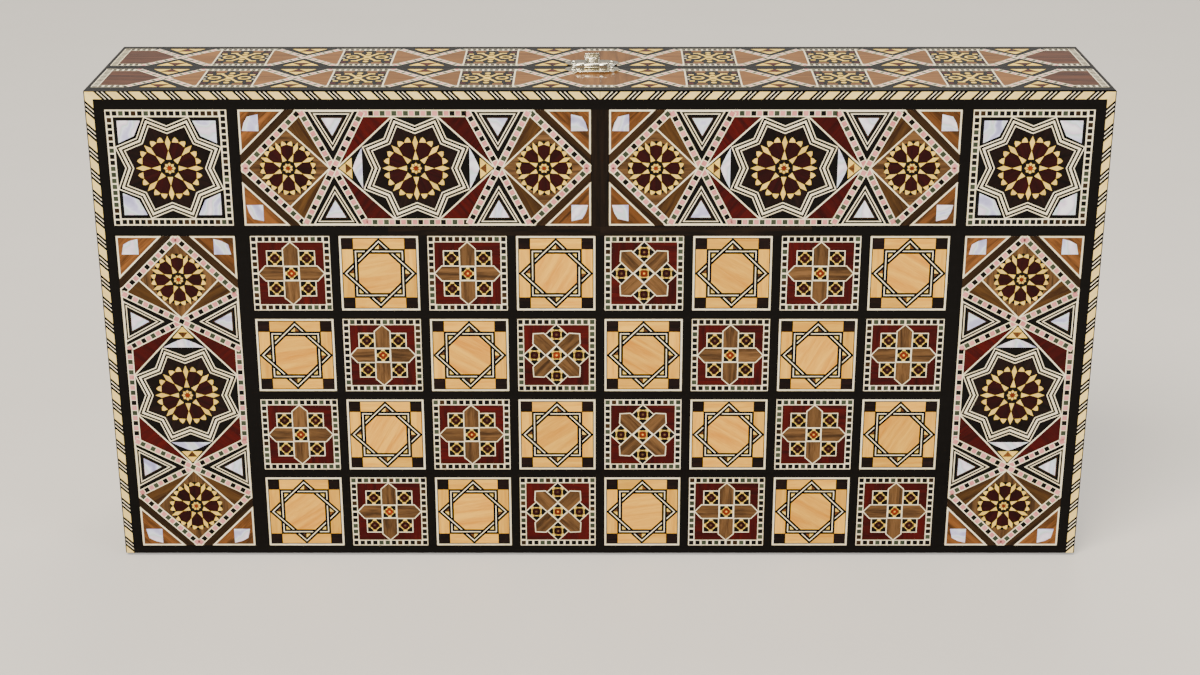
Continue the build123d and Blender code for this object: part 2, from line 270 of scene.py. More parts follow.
def beads(starts, ends, pitch, size, layer, pairs=False, tall=None):
    """Beads along straight lines, at the whole number of steps nearest to the pitch. They are square
    unless tall gives their size across the line. With pairs, dark and pink beads take turns; otherwise
    most are dark and a few are brown or green."""
    rows = []
    for start, end in zip(np.atleast_2d(starts).astype(float), np.atleast_2d(ends).astype(float)):
        length = np.linalg.norm(end - start)
        count = max(int(round(length / pitch)), 1)
        middles = start + (end - start) * ((np.arange(count) + 0.5) / count)[:, None]
        half = (end - start) / length * size / 2
        squares = bars(middles - half, middles + half, tall or size)
        dice = luck.random(count)
        if pairs:
            dark = np.where(dice < 0.45, "green_bone", "ebony_slips")
            kind = np.where(np.arange(count) % 2 == 0, "pink_bone", dark)
        else:
            kind = np.select([dice < 0.62, dice < 0.86], ["ebony_slips", "green_bone"], "dark_walnut")
        rows += [slips(wood, squares[kind == wood], layer) for wood in np.unique(kind)]
    return rows


def bead_strip(starts, ends, width, pitch, size, layer, pairs=False, tall=None):
    """A bone strip with beads along its middle."""
    bone_strip = slips("bone", bars(starts, ends, width), layer)
    return [bone_strip] + beads(starts, ends, pitch, size, layer + 1, pairs, tall)


def bead_frame(half, width, back, pitch, size):
    """A square frame of four bead strips. Each row of beads starts a step back from its corner."""
    outer, middle = centred(half, half), half - width / 2
    corners = middle * np.array([(-1, 1), (1, 1), (1, -1), (-1, -1)])
    ends = np.roll(corners, -1, 0)
    step = (ends - corners) / (2 * middle) * back
    bone_frame = slips("bone", band_between(outer, shrunk(outer, width)), 1)
    return [bone_frame] + beads(corners - step, ends - step, pitch, size, 2)


print("beads in a 100 mm strip:", how_many(beads((0, 0), (100, 0), 3.4, 1.6, 1)))

# %% [markdown]
# ## The banded star
# Two crossed squares make an eight-pointed star. Its notches lie at tip x cos 45 / cos 22.5. The
# strap is a sandwich of bone and ebony lines, so each bone line is a ring between two stars. Moving
# an edge in by w moves the right-angled tip in by w / sin 45.

# %% Banded star
NOTCH = np.cos(np.pi / 4) / np.cos(np.pi / 8)
TIP_SHARE = np.sin(np.pi / 4)
STAR_TIP, STAR_GAP = 28.25, 0.9  # radius of the tips, and the ebony between two bone lines


def star(tip, turn):
    """The 16 corners of the star: tip, notch, tip, notch..."""
    return polar([tip, tip * NOTCH] * 8, spokes(16, turn))


def banded_star(turn, layer):
    """Three bone lines, each of 16 mitred pieces, round a field of dark rosewood."""
    rows, tip = [], STAR_TIP
    for width in (0.55, 1.05, 0.55):
        rows.append(slips("bone", band_between(star(tip, turn), star(tip - width / TIP_SHARE, turn)), layer))
        tip -= (width + STAR_GAP) / TIP_SHARE
    field = star(tip + 0.6, turn)
    kites = np.stack([np.zeros((8, 2)), np.roll(field[1::2], 1, 0), field[::2], field[1::2]], 1)
    return rows + [slips("rosewood", kites, layer - 1, spokes(8, turn))]


print("star notch radius:", round(STAR_TIP * NOTCH, 2))

# %% [markdown]
# ## The rosette
# Eight dark red petals meet in pairs, with lemon-yellow wedges and kites between them and a small
# star in the middle. One petal is drawn and the rest are turned copies. The small rosette of the
# long panels is the same design at 0.86 of the size.

# %% Rosette
def rosette(turn, layer, scale=1.0, disc=13.9):
    """Petals at 22.5 degrees to the wedges. Radii are of the large rosette, in millimetres."""
    petal = polar([4.9, 8.9, 11.4, 13.7, 14.45, 13.7, 11.4, 8.9], [0, -22.4, -21, -14.2, 0, 14.2, 21, 22.4])
    wedge = polar([4.65, 4.65, 8.9], [-17, 17, 0])
    kite = polar([8.9, 13.2, 16.4, 13.2], [0, 5.8, 0, -5.8])
    tooth = polar([13.3, 15.2, 16.1, 15.2, 14.0], [13.8, 12.0, 9.2, 3.8, 0.4])
    block = polar([2.8, 3.0, 4.4, 4.8, 4.4, 3.0], [0, -19, -18, 0, 18, 19])
    spark = polar([1.0, 2.2, 2.9, 2.2], [0, 21, 0, -21])
    between = turn + 22.5
    return moved([
        slips("ebony_slips", ngon(disc, 8, between), layer),
        slips("petals", copies(petal, 8, between), layer + 1, spokes(8, between)),
        slips("lemonwood", copies(wedge, 8, turn), layer + 2),
        slips("lemonwood", copies(kite, 8, turn), layer + 2),
        slips("lemonwood", copies([tooth, tooth * (1, -1)], 8, between), layer + 2),
        slips("dark_walnut", ngon(4.65, 16), layer + 1),
        slips("ebony_slips", copies(block, 8, between), layer + 2),
        slips("lemonwood", copies(spark, 8, turn), layer + 3),
        slips("padauk_heart", ngon(1.25, 8), layer + 4),
    ], scale=scale)


print("slips in one rosette:", how_many(rosette(0, 1)))

# %% [markdown]
# ## Corner panels
# A square frame of beads holds one banded star. The four corners are kites of mother of pearl,
# ground to follow the star with a thin ebony gap.

# %% Corner panel
PANEL = 59.0  # width of all border panels


def corner_panel():
    """Bead frame, four pearl kites, banded star and rosette."""
    rows = bead_frame(PANEL / 2, 3.7, 1.85, 3.1, 2.3)
    pearl = [(24.0, 24.0), (12.7, 24.0), (16.3, 16.3), (24.0, 12.7)]
    rows.append(slips("pearl", copies(pearl, 4), 3, spokes(4, 20)))
    return rows + banded_star(22.5, 3) + rosette(0, 4)


print("slips in a corner panel:", how_many(corner_panel()))

# %% [markdown]
# ## Long panels
# A long panel is a hexagon with a star in the middle and a rhombus with a small rosette at each end.
# Bead strips cross between them like the laces of a drum, and nested triangles with pearl hearts
# fill the gaps. Everything is symmetrical, so most pieces are drawn once and reflected four ways.

# %% Woods of the long panel
LONG = 171.3  # length of a long panel
LINE = 0.85  # width of the bone lines round its corner woods
BOTH_WAYS = np.array([(1, 1), (-1, 1)])[:, None]  # an outline and its reflection left to right


def long_panel_ground():
    """Woods of the corners, rhombi and hexagon, without the bead strips."""
    half, edge, leg = LONG / 2, PANEL / 2, 22.6
    corner = np.array([(half, edge), (half - leg, edge), (half, edge - leg)])
    walnut_strip = [(58.0, edge), (63.05, edge), (half, 6.9), (half, 1.85)]
    pearl = (half, edge) - np.array([(9.6, 2.3), (9.6, 10.7), (1.5, 10.6), (2.6, 6.6), (4.4, 3.5)])
    triangle = [(62.9, 19.4), (56.2, 28.0), (42.3, 0.0)]
    diamond = [(83.2, 0), (62.6, 20.6), (42.0, 0), (62.6, -20.6)]
    padauk = [(36.6, 2.2), (25.0, 27.5), (10.4, 27.0)]
    lines = bars([(62.9, 20.2), (37.8, 0.9)], [(42.2, 0.0), (10.4, 26.7)], 0.75)
    return [
        slips("bone", band_between(centred(half, edge), centred(half - LINE, edge - LINE)), 1),
        slips("bone", four_ways(corner), 2),
        slips("orange_wood", four_ways(shrunk(corner, LINE)), 3, [-45, 45, 45, -45]),
        slips("pearl", four_ways(pearl), 4, [30, 120, 70, 160]),
        slips("dark_walnut", four_ways(walnut_strip), 2, [-45, 45, 45, -45]),
        slips("walnut", diamond * BOTH_WAYS, 2),
        slips("brown_walnut", four_ways(triangle), 3, [60, -60, -60, 60]),
        slips("padauk", four_ways(padauk), 2, [52, -52, -52, 52]),
        slips("bone", four_ways(*lines), 4),
    ]


print("slips under the bead strips of a long panel:", how_many(long_panel_ground()))

# %% [markdown]
# Over these woods lie the nested triangles, the chevrons, the bead strips and the stars. Two strips
# that cross lie on different layers, so one passes over the other.

# %% Long panel
def nested_triangle():
    """Two bone triangles round a brown one with a pearl heart, between a pair of crossing strips."""
    outline = np.array([(51.6, 29.0), (29.0, 29.0), (40.3, 8.9)])
    rings = [band_between(shrunk(outline, a), shrunk(outline, b)) for a, b in ((0, 0.6), (1.4, 1.9))]
    return [
        slips("bone", four_ways(*rings[0], *rings[1]), 3),
        slips("dark_walnut", four_ways(shrunk(outline, 3.1)), 3),
        slips("pearl", four_ways(shrunk(outline, 3.7)), 4, [10, 70, 130, 40]),
    ]


def chevron():
    """A small lemonwood and orange mosaic between the crossing and the pearl lens beside the star."""
    tip, left, right = np.array([(37.6, 0.0), (31.4, 5.3), (31.4, -5.3)])
    a, b, c = (tip + left) / 2, (tip + right) / 2, (left + right) / 2
    lens = [(31.0, 0), (29.9, 3.1), (28.4, 6.4), (26.3, 10.3), (26.3, -10.3), (28.4, -6.4), (29.9, -3.1)]
    yellow = np.array([(tip, a, b), (a, left, c), (b, c, right)])
    return [
        slips("lemonwood", yellow * BOTH_WAYS[:, None], 4),
        slips("orange_wood", (a, c, b) * BOTH_WAYS, 4),
        slips("pearl", lens * BOTH_WAYS, 4, [80, 100]),
    ]


def long_panel():
    """The whole long panel."""
    strip = (3.6, 2.85, 2.45)  # width, pitch and size of its beads
    sides = [(side, up) for side in (-1, 1) for up in (-1, 1)]
    flat = np.array([(-25.4, PANEL / 2 - 1.8), (-25.4, 1.8 - PANEL / 2)])
    rows = long_panel_ground() + nested_triangle() + chevron()
    for side, up in sides:
        rows += bead_strip((side * 84.6, 0), (side * 56.3, up * 28.3), *strip, 5, pairs=True)
    for side, up in sides:
        layer = 5 if up * side < 0 else 7
        rows += bead_strip((side * 55.4, up * 28.7), (side * 25.4, -up * 28.7), *strip, layer, pairs=True)
    rows += bead_strip(flat, flat * (-1, 1), *strip, 5, pairs=True) + banded_star(22.5, 4) + rosette(0, 5)
    for side in (-1, 1):
        rows += moved(rosette(22.5, 4, 0.86, 16.2), (side * 62.7, 0))
    return rows


print("slips in a long panel:", how_many(long_panel()))

# %% [markdown]
# ## Dark chess squares
# A walnut cross lies on red padauk inside a bead frame, with five little eyes: an ebony square, a
# lemonwood ring and a dark red disc with a small dot. In the two middle columns the whole design
# is turned by 45 degrees.

# %% Dark square
SQUARE = 39.3


def eye(shift, disc, spot, scale=1.0):
    """One eye, with the woods of its disc and its dot."""
    lobe = [(2.0, -1.2), (3.7, -0.75), (3.7, 0.75), (2.0, 1.2)]
    return moved([
        slips("bone", centred(4.2, 4.2), 3),
        slips("ebony_slips", centred(3.72, 3.72), 4),
        slips("lemonwood", ngon(2.75, 8, 22.5), 5),
        slips("lemonwood", copies(lobe, 4), 5),
        slips(disc, ngon(2.15, 12), 6),
        slips(spot, ngon(0.6, 8), 7),
    ], shift, scale)


def cross_and_eyes():
    """The walnut cross with bone edges, and five eyes."""
    arm = np.array([(-4.2, 3.6), (4.2, 3.6), (4.2, 13.1), (0, 16.9), (-4.2, 13.1)])
    rows = [slips("bone", copies(arm, 4), 2), slips("walnut", copies(shrunk(arm, 0.5), 4), 3, spokes(4, 90))]
    rows += eye((0, 0), "padauk_heart", "maple", 0.89)
    for corner in copies([(7.95, 7.95)], 4)[:, 0]:
        rows += eye(corner, "petals", "walnut")
    return rows


def dark_square(turn):
    """Bead frame, red ground and the turned cross."""
    half, width = SQUARE / 2, 3.2
    rows = bead_frame(half, width, 1.7, 3.4, 2.35)
    rows.append(slips("padauk", copies(rect(0, 0, half - width, half - width), 4), 1, spokes(4)))
    return rows + moved(cross_and_eyes(), turn=turn)


print("slips in a dark square:", how_many(dark_square(0)))

# %% [markdown]
# ## Light chess squares
# A straight square and a tipped square, each a strap of bone edged with ebony, are laced over and
# under each other round an octagon of maple. Both straps are drawn whole. Then, at every crossing,
# a short length of the strap that passes over is laid on top.

# %% Light square
STRAIGHT, TIPPED = 12.65, 12.94  # from the centre to the outer side of each laced square
STRAP, STRAP_BONE = 2.6, 0.52  # widths of a strap and of its bone line
STRAP_MIDDLE = 1.0  # from the outer side to the middle of the strap


def strap_square(apothem, turn, layer):
    """A mitred square strap: ebony, with a bone line down its middle."""
    rows = []
    for wood, width in (("ebony_slips", STRAP), ("bone", STRAP_BONE)):
        middle = (apothem - STRAP_MIDDLE) * np.sqrt(2)
        reach = width / 2 * np.sqrt(2)
        ring = band_between(ngon(middle + reach, 4, turn + 45), ngon(middle - reach, 4, turn + 45))
        rows.append(slips(wood, ring, layer + len(rows)))
    return rows


def overlays(apothem, along, layer):
    """Short lengths of a strap at the place called along on each of its four sides."""
    ends = np.array([(along - 2.7, apothem - STRAP_MIDDLE), (along + 2.7, apothem - STRAP_MIDDLE)])
    return [
        slips("ebony_slips", copies(bars(*ends, 2.55), 4), layer),
        slips("bone", copies(bars(*ends, STRAP_BONE), 4), layer + 1),
    ]


def light_square():
    """Bone frame, maple ground with dark corners, and two laced squares."""
    outer, field, inside = centred(SQUARE / 2, SQUARE / 2), 18.3, 12.7
    sides = [rect(-inside, 8, -0.05, field), rect(0.05, 8, inside, field)]
    crossing_at = (TIPPED - STRAP_MIDDLE) * np.sqrt(2) - (STRAIGHT - STRAP_MIDDLE)  # from the middle of a side
    octagon = trimmed_box([turned(centred(10.95, 10.95), 45)], -10.6, -10.6, 10.6, 10.6)[0]
    point = np.array([(15.6, 0), (12.6, 3.0), (12.6, 0)])
    nook = [(10.7, 10.7), (10.7, 7.5), (7.5, 10.7)]
    return [
        slips("bone", band_between(outer, shrunk(outer, 0.9)), 1),
        slips("maple", copies(sides, 4), 1, np.repeat(spokes(4), 2)),
        slips("rosewood", copies(rect(inside, inside, field, field), 4), 2),
        slips("maple_heart", octagon, 2, luck.choice([35.0, -30.0, 60.0, 10.0])),
        slips("lemonwood", copies(nook, 4), 2),
        slips("lemonwood", copies(point, 4), 2),
        slips("orange_wood", copies(point * (1, -1), 4), 2),
        *strap_square(STRAIGHT, 0, 3), *strap_square(TIPPED, 45, 5), *overlays(STRAIGHT, crossing_at, 7),
    ]


print("slips in a light square:", how_many(light_square()))

# %% [markdown]
# ## Lay the board face
# Now the motifs go to their places: four rows of eight chess squares next to the hinge, a long panel
# beside them at each end, two along the top, and a corner panel in each upper corner.

# %% Place the face motifs
PITCH, COLUMNS, ROWS = 44.0, 8, 4
BORDER, PANEL_GAP = 9.75, 5.5  # edge to panels, and between neighbouring panels
FOLD = TALL - BORDER - PANEL - PANEL_GAP - LONG  # plain margin beside the hinge edge
UPPER = TALL - BORDER - PANEL / 2
SIDE = HALF - BORDER - PANEL / 2

for side in (-1, 1):
    place("face", corner_panel(), side * SIDE, UPPER)
    place("face", long_panel(), side * (FOLD + LONG / 2), UPPER)
    place("face", long_panel(), side * SIDE, FOLD + LONG / 2, 90)
for row in range(ROWS):
    for column in range(COLUMNS):
        u, v = (column - (COLUMNS - 1) / 2) * PITCH, FOLD + SQUARE / 2 + row * PITCH
        light = (row + column) % 2 == 0
        place("face", light_square() if light else dark_square(45 if column in (3, 4) else 0), u, v)
print("woods so far:", {wood: how_many(rows) for wood, rows in cutting_list.items()})

# %% [markdown]
# ## Smoked strips
# Between the two upper long panels, and under them, the dark ground is walnut that has been smoked
# almost black, with brown streaks along it. These are plain strips with a long grain.

# %% Smoked strips
between = FOLD - 0.3
gap_low, gap_high = UPPER - PANEL / 2 - 5.2, UPPER - PANEL / 2 - 0.3
for half, low, high, grain in ((between, gap_high, UPPER + PANEL / 2, 90), (105, gap_low, gap_high - 0.1, 0)):
    strips = [rect(-half, low, -0.08, high), rect(0.08, low, half, high)]
    place("face", [slips("smoked_walnut", strips, 1, grain)])
print(f"smoked strips {between:.1f} and {gap_high - gap_low:.1f} mm wide")

# %% [markdown]
# ## Edge banding
# The board is edged with slanting blocks of pale wood, parted by black and white lines. The slant is
# 45 degrees, the same as the mitre, so a run can start at a corner with no odd piece. Each run is
# drawn once in (t, w), t along the edge and w across it, and laid along the top and down the side.

# %% Edge banding
BAND_OUT, BAND_IN = 0.8, 4.55
BAND_PITCH, BAND_FIRST = 11.18, 4.4  # from block to block, and the end of the first block
BLOCK, BLACK, WHITE = 5.36, 1.5, 0.66  # widths of a block and of the lines


def slanted(starts, length):
    """Slanting blocks: at t = start + w on one side and start + length + w on the other."""
    corners = [(BAND_OUT, 0), (BAND_OUT, length), (BAND_IN, length), (BAND_IN, 0)]
    return np.stack([np.stack([starts + w + reach, np.full_like(starts, w)], -1) for w, reach in corners], 1)


def banding_run(length):
    """One run from a mitre to its end, as pairs of (wood, outlines)."""
    starts = BAND_FIRST - BLOCK + BAND_PITCH * np.arange(int(length / BAND_PITCH) + 2)
    blocks = slanted(np.maximum(starts, 0.0), BLOCK)
    blocks[0, 1:3, 0] += starts[0]
    first_line = starts + BLOCK + BLACK
    lines = slanted(np.concatenate([first_line, first_line + BLACK + WHITE]), WHITE)
    wholes = (("banding", blocks), ("bone", lines))
    return [(wood, g) for wood, whole in wholes for g in trimmed(whole, (1, 0), length)]


runs = [(wood, (g - (HALF, 0)) * (1, -1) + (0, TALL)) for wood, g in banding_run(HALF - 0.12)]
runs += [(wood, np.stack([g[..., 1] - HALF, TALL - g[..., 0]], -1)) for wood, g in banding_run(TALL - 0.1)]
banding = [slips(wood, g, 1, -45) for wood, g in runs]
place("face", banding)
place("face", banding, mirror=True)
print("banding pieces:", 2 * how_many(banding))

# %% [markdown]
# ## Edge strips
# The other three edges carry a strip of wooden hexagons between crossings of bead strips. Most
# hexagons hold a pane of lemonwood on ebony: two bars that cross in the middle, a ring on each side
# of them, and blocks round the edge. The triangles beside the crossings are cut in four.

# %% Knot pane
def knot_pane(half_u, half_v, layer):
    """Two bars that cross between two rings, a bead above and below them, and blocks round the edge."""
    rings = np.array([(-7.4, 0.0), (7.4, 0.0)])[:, None]
    middle_beads = np.array([(0.0, -9.3), (0.0, 9.3), (0.0, -5.0), (0.0, 5.0)])[:, None]
    return [
        slips("ebony_slips", centred(half_u, half_v), layer),
        slips("lemonwood", bars([(-4.9, -7.6), (-4.9, 7.6)], [(4.9, 7.6), (4.9, -7.6)], 1.3), layer + 1),
        slips("lemonwood", ngon(2.2, 4), layer + 2),
        slips("lemonwood", ngon(1.45, 8) + middle_beads, layer + 2),
        slips("lemonwood", ngon(3.4, 8) + rings, layer + 2),
        slips("ebony_slips", ngon(2.1, 8) + rings, layer + 3),
        slips("lemonwood", four_ways(rect(4.0, 7.3, 7.6, 8.9), rect(9.3, 5.3, 11.8, 7.0)), layer + 3),
        slips("beech", four_ways(rect(3.2, 10.8, 8.4, half_v - 0.5)), layer + 1),
        slips("padauk", four_ways(rect(10.0, 9.2, half_u - 0.4, 12.2)), layer + 1),
        slips("bone", four_ways(rect(11.4, 2.0, half_u - 0.2, 3.0)), layer + 1),
    ]


def cut_triangle(half, height, layer):
    """Three lemonwood corners round a red middle, each smaller than half the triangle by a thin line."""
    left, right, top = np.array([(-half, 0), (half, 0), (0, height)])
    a, b, c = (left + right) / 2, (right + top) / 2, (top + left) / 2
    return [
        slips("lemonwood", shrunk(np.array([(left, a, c), (a, right, b), (c, b, top)]), 0.2), layer),
        slips("padauk", shrunk(np.array([a, b, c]), 0.15), layer),
    ]


print("slips in a knot pane:", how_many(knot_pane(13.0, 14.2, 2)))

# %% [markdown]
# The strip is drawn for any row of crossings, so one function serves the clasp edge and both ends.
# The hexagon in the middle of the clasp edge stays plain, because the clasp lies over it.

# %% Edge strip
NEAR, FAR, RUN = 3.5, FACE - 6.4, 17.0  # both sides of the strip, and the reach of a crossing
CENTRE = (NEAR + FAR) / 2
PANE_HALF = 14.1
JOINT = 0.1  # half the line between the two halves of a hexagon


def side_beads(start, end):
    """Bead strips along both sides, between two places."""
    rows = []
    for line in (NEAR + 1.85, FAR - 1.85):
        rows += bead_strip((start, line), (end, line), 3.7, 2.7, 1.7, 2, tall=2.9)
    return rows


def hexagon_row(a, b, plain):
    """The wood between two crossings, its straight bead strips, and its mosaic pane unless plain."""
    outline = [(a, CENTRE), (a + RUN, NEAR), (b - RUN, NEAR), (b, CENTRE), (b - RUN, FAR), (a + RUN, FAR)]
    middle, rows = (a + b) / 2, []
    for side in (1, -1):
        for half_hexagon in trimmed([np.array(outline)], (side, 0), side * middle - JOINT):
            rows.append(slips("beech", half_hexagon, 1, 90 if plain else 0))
    rows += side_beads(a + RUN - 1.5, b - RUN + 1.5)
    if not plain:
        half = (b - a) / 2 - 18.0
        pane = [slips("bone", centred(half, PANE_HALF), 2)] + knot_pane(half - 0.8, PANE_HALF, 3)
        rows += moved(pane, (middle, CENTRE))
    return rows


def crossing(place_u):
    """Two bead strips that cross, and a triangle mosaic on each side of them."""
    rows = []
    for layer, way in ((4, 1), (6, -1)):
        start, end = (place_u - way * RUN, NEAR), (place_u + way * RUN, FAR)
        for wood, outlines, level, grain in bead_strip(start, end, 3.4, 2.7, 1.8, layer, pairs=True, tall=2.5):
            rows += [slips(wood, g, level, grain) for g in trimmed_box(outlines, -HALF, NEAR, HALF, FAR)]
    for line, way in ((NEAR, 1), (FAR, -1)):
        rows += moved(cut_triangle(9.4, 11.4, 2), (place_u, line), (1, way))
    return rows


print("slips in a cut triangle:", how_many(cut_triangle(9.4, 11.4, 2)))

# %% [markdown]
# A whole strip starts and ends with half a hexagon of darker wood. Between the end pieces lie the
# hexagons, and the crossings go on last, because their beads lie over everything else.

# %% Whole strips
def end_piece(tip, end):
    """The half hexagon that closes a strip, of darker wood, with bead strips along three sides."""
    way = np.sign(end - tip)
    corner, last = tip + way * RUN, end - way * 3.7
    outline = [(tip, CENTRE), (corner, NEAR), (last, NEAR), (last, FAR), (corner, FAR)]
    rows = [slips("mahogany", outline, 1)] + side_beads(corner - way * 1.5, end - way * 2.0)
    return rows + bead_strip((last, NEAR), (last, FAR), 3.5, 2.7, 1.7, 4, tall=2.6)


def edge_strip(low, high, crossings):
    """A whole strip from low to high. A hexagon in the middle of the strip is plain."""
    rows = end_piece(crossings[0], low) + end_piece(crossings[-1], high)
    for a, b in zip(crossings, crossings[1:]):
        rows += hexagon_row(a, b, abs(a + b) < 1)
    for place_u in crossings:
        rows += crossing(place_u)
    return rows


clasp_crossings = [-214.8, -151.2, -87.6, -24.0, 24.0, 87.6, 151.2, 214.8]
end_crossings = [29.5, 92.9, 156.3, 219.7]
place("clasp_edge", edge_strip(0.6 - HALF, HALF - 0.6, clasp_crossings))
place("right_end", edge_strip(0.8, TALL - 0.6, end_crossings))
place("left_end", edge_strip(0.6 - TALL, -0.8, [-c for c in reversed(end_crossings)]))
print("woods:", {wood: how_many(rows) for wood, rows in cutting_list.items()})

# %% [markdown]
# ## The backgammon field
# Inside, each tray is half of a backgammon board: twelve long points, light and dark in turn, with
# bone edges, a border of beads, and a banded star where the two trays meet in the middle. This
# drawing board faces up out of the open tray and lies just above the CAD field, which is its ground.

# %% Backgammon field
field_low, field_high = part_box("front_tray_field")
FLOOR = -field_high.y / MM  # from the seam to the floor of the tray
BOARDS["field"] = drawing_board((0, LAYER * TOP_LAYER - FLOOR, FOOT), (-1, 0, 0), (0, 0, 1))
FIELD_HALF, FIELD_LOW, FIELD_TOP = field_high.x / MM, field_low.z / MM - FOOT, field_high.z / MM - FOOT
POINT_LENGTH, POINTS = 190.0, 6


def backgammon_points():
    """Six points from each end; both ends start with a light one beside the hinge."""
    width = (FIELD_TOP - FIELD_LOW) / POINTS
    rows = []
    for side in (-1, 1):
        base, tip = side * FIELD_HALF, side * (FIELD_HALF - POINT_LENGTH)
        for k in range(POINTS):
            low = FIELD_LOW + k * width
            outline = anticlockwise(np.array([[(base, low), (tip, low + width / 2), (base, low + width)]]))
            wood = "point_maple" if (k + (side > 0)) % 2 == 0 else "point_padauk"
            rows += [slips("bone", outline, 1), slips(wood, shrunk(outline, 0.7), 2)]
    return rows


def field_border():
    """Bead strips along the four walls, over the ends of the points."""
    u, low, high = FIELD_HALF - 1.75, FIELD_LOW + 1.75, FIELD_TOP - 1.75
    starts, ends = [(-u, low), (-u, high), (-u, low), (u, low)], [(u, low), (u, high), (-u, high), (u, high)]
    return bead_strip(starts, ends, 3.5, 3.35, 1.7, 3)


place("field", backgammon_points() + field_border())
star_ground = slips("rosewood", ngon(31.5, 8, 22.5), 1)
place("field", [star_ground] + banded_star(22.5, 3) + rosette(0, 4), 0, (FIELD_LOW + FIELD_TOP) / 2)
print(f"field {2 * FIELD_HALF:.1f} x {FIELD_TOP - FIELD_LOW:.1f} mm, floor {FLOOR:.1f} mm below the seam")

# %% [markdown]
# ## Wood, bone and pearl
# Every finish is procedural. An effect that several materials share is a node group with named
# sockets: it gives out a colour and a height, and each material feeds them to its own Principled
# shader. Node sums are easier to read as sums, so a Signal is an output that knows +, - and *.

# %% Node helpers
def colour(code):
    """A hex colour as linear RGBA: channels above 0.04045 follow ((c + 0.055) / 1.055) ** 2.4."""
    c = np.array([int(code[k:k + 2], 16) for k in (0, 2, 4)]) / 255
    return (*np.where(c > 0.04045, ((c + 0.055) / 1.055) ** 2.4, c / 12.92).tolist(), 1.0)


def feed(made, **inputs):
    """Fills the inputs of a node, by name or by _number. A Signal is linked, anything else is a value."""
    for key, value in inputs.items():
        socket = made.inputs[int(key[1:]) if key[0] == "_" else key.replace("_", " ")]
        if isinstance(value, Signal):
            made.id_data.links.new(value.socket, socket)
        else:
            socket.default_value = value
    return made


def node(tree, kind, settings=None, **inputs):
    """Adds a node. Settings are its own properties."""
    made = tree.nodes.new(f"ShaderNode{kind}")
    for key, value in (settings or {}).items():
        setattr(made, key, value)
    return feed(made, **inputs)


def signal(tree, kind, output=0, settings=None, **inputs):
    """One output of a new node."""
    return Signal(node(tree, kind, settings, **inputs).outputs[output])


class Signal:
    """An output socket. Each sum, difference or product of signals adds one Math node."""

    def __init__(self, socket):
        self.socket, self.tree = socket, socket.id_data

    def maths(self, operation, other):
        return signal(self.tree, "Math", 0, {"operation": operation}, _0=self, _1=other)

    def __add__(self, other):
        return self.maths("ADD", other)

    def __sub__(self, other):
        return self.maths("SUBTRACT", other)

    def __mul__(self, other):
        return self.maths("MULTIPLY", other)


print("padauk red as linear RGB:", [round(c, 3) for c in colour("611613")])

# %% [markdown]
# A few kinds of node turn up again and again, so each gets a short form. A group is made from two
# plain tables, one for its inputs and one for its outputs.

# %% Short forms and groups
def used(tree, group, **inputs):
    """A group placed in a tree: its outputs as signals, by name."""
    placed = node(tree, "Group", {"node_tree": group}, **inputs)
    return {socket.name: Signal(socket) for socket in placed.outputs}


def noise(at, scale, detail, **more):
    """The value of a Noise Texture."""
    return signal(at.tree, "TexNoise", "Fac", Vector=at, Scale=scale, Detail=detail, **more)


def stretched(at, factors):
    """Coordinates times three factors: a small factor stretches a pattern, a large one squeezes it."""
    return signal(at.tree, "VectorMath", 0, {"operation": "MULTIPLY"}, _0=at, _1=factors)


def clamped(value):
    """A value held between 0 and 1."""
    return signal(value.tree, "Clamp", Value=value)


def blend_colours(share, a, b):
    """The mix of two colours."""
    return signal(share.tree, "Mix", 2, {"data_type": "RGBA"}, _0=share, _6=a, _7=b)


def new_group(name, inputs, outputs):
    """A shader group. Each socket has a kind, or a number, which makes it a Float with that default.
    Returns the group, its inputs as signals by name, and its output node."""
    group = bpy.data.node_groups.new(name, "ShaderNodeTree")
    for way, sockets in (("INPUT", inputs), ("OUTPUT", outputs)):
        for socket_name, kind in sockets.items():
            word = kind if isinstance(kind, str) else "Float"
            socket = group.interface.new_socket(socket_name, in_out=way, socket_type=f"NodeSocket{word}")
            if kind != word:
                socket.default_value = kind
    given = group.nodes.new("NodeGroupInput").outputs
    return group, {key: Signal(given[key]) for key in inputs}, group.nodes.new("NodeGroupOutput")


print("node groups before the first:", len(bpy.data.node_groups))

# %% [markdown]
# The first group is wood figure: noise stretched along the grain makes growth bands, finer noise
# makes fibres, and both mix a pale and a dark colour. Noise changes about once in one unit, here one
# millimetre, so the factors 0.035 and 0.42 make bands some 29 mm long and 2.4 mm wide, and 0.22 and 5
# make fibres some 4.5 mm long and 0.2 mm wide. Tone lightens or darkens a whole slip.

# %% The wood figure group
figure, given, out = new_group(
    "wood_figure",
    {"Vector": "Vector", "Pale": "Color", "Dark": "Color", "Band width": 1.0, "Contrast": 1.0, "Tone": 0.5,
     "Tone range": 0.3},
    {"Color": "Color", "Height": "Float"},
)
bands_at = signal(figure, "VectorMath", 0, {"operation": "SCALE"}, Scale=given["Band width"],
                  _0=stretched(given["Vector"], (0.035, 0.42, 0.42)))
bands = noise(bands_at, 1.0, 4.0, Roughness=0.6, Distortion=0.7)
fibres = noise(stretched(given["Vector"], (0.22, 5.0, 5.0)), 1.0, 2.0, Roughness=0.5)
spread = (bands * 0.72 + fibres * 0.28 - 0.5) * (given["Contrast"] * 3.2)
wood_colour = blend_colours(clamped(spread + 0.5), given["Pale"], given["Dark"])
lightness = (given["Tone"] - 0.5) * given["Tone range"] + 1.0
feed(out, Color=signal(figure, "HueSaturation", Color=wood_colour, Value=lightness), Height=fibres)
print("wood_figure nodes:", len(figure.nodes))

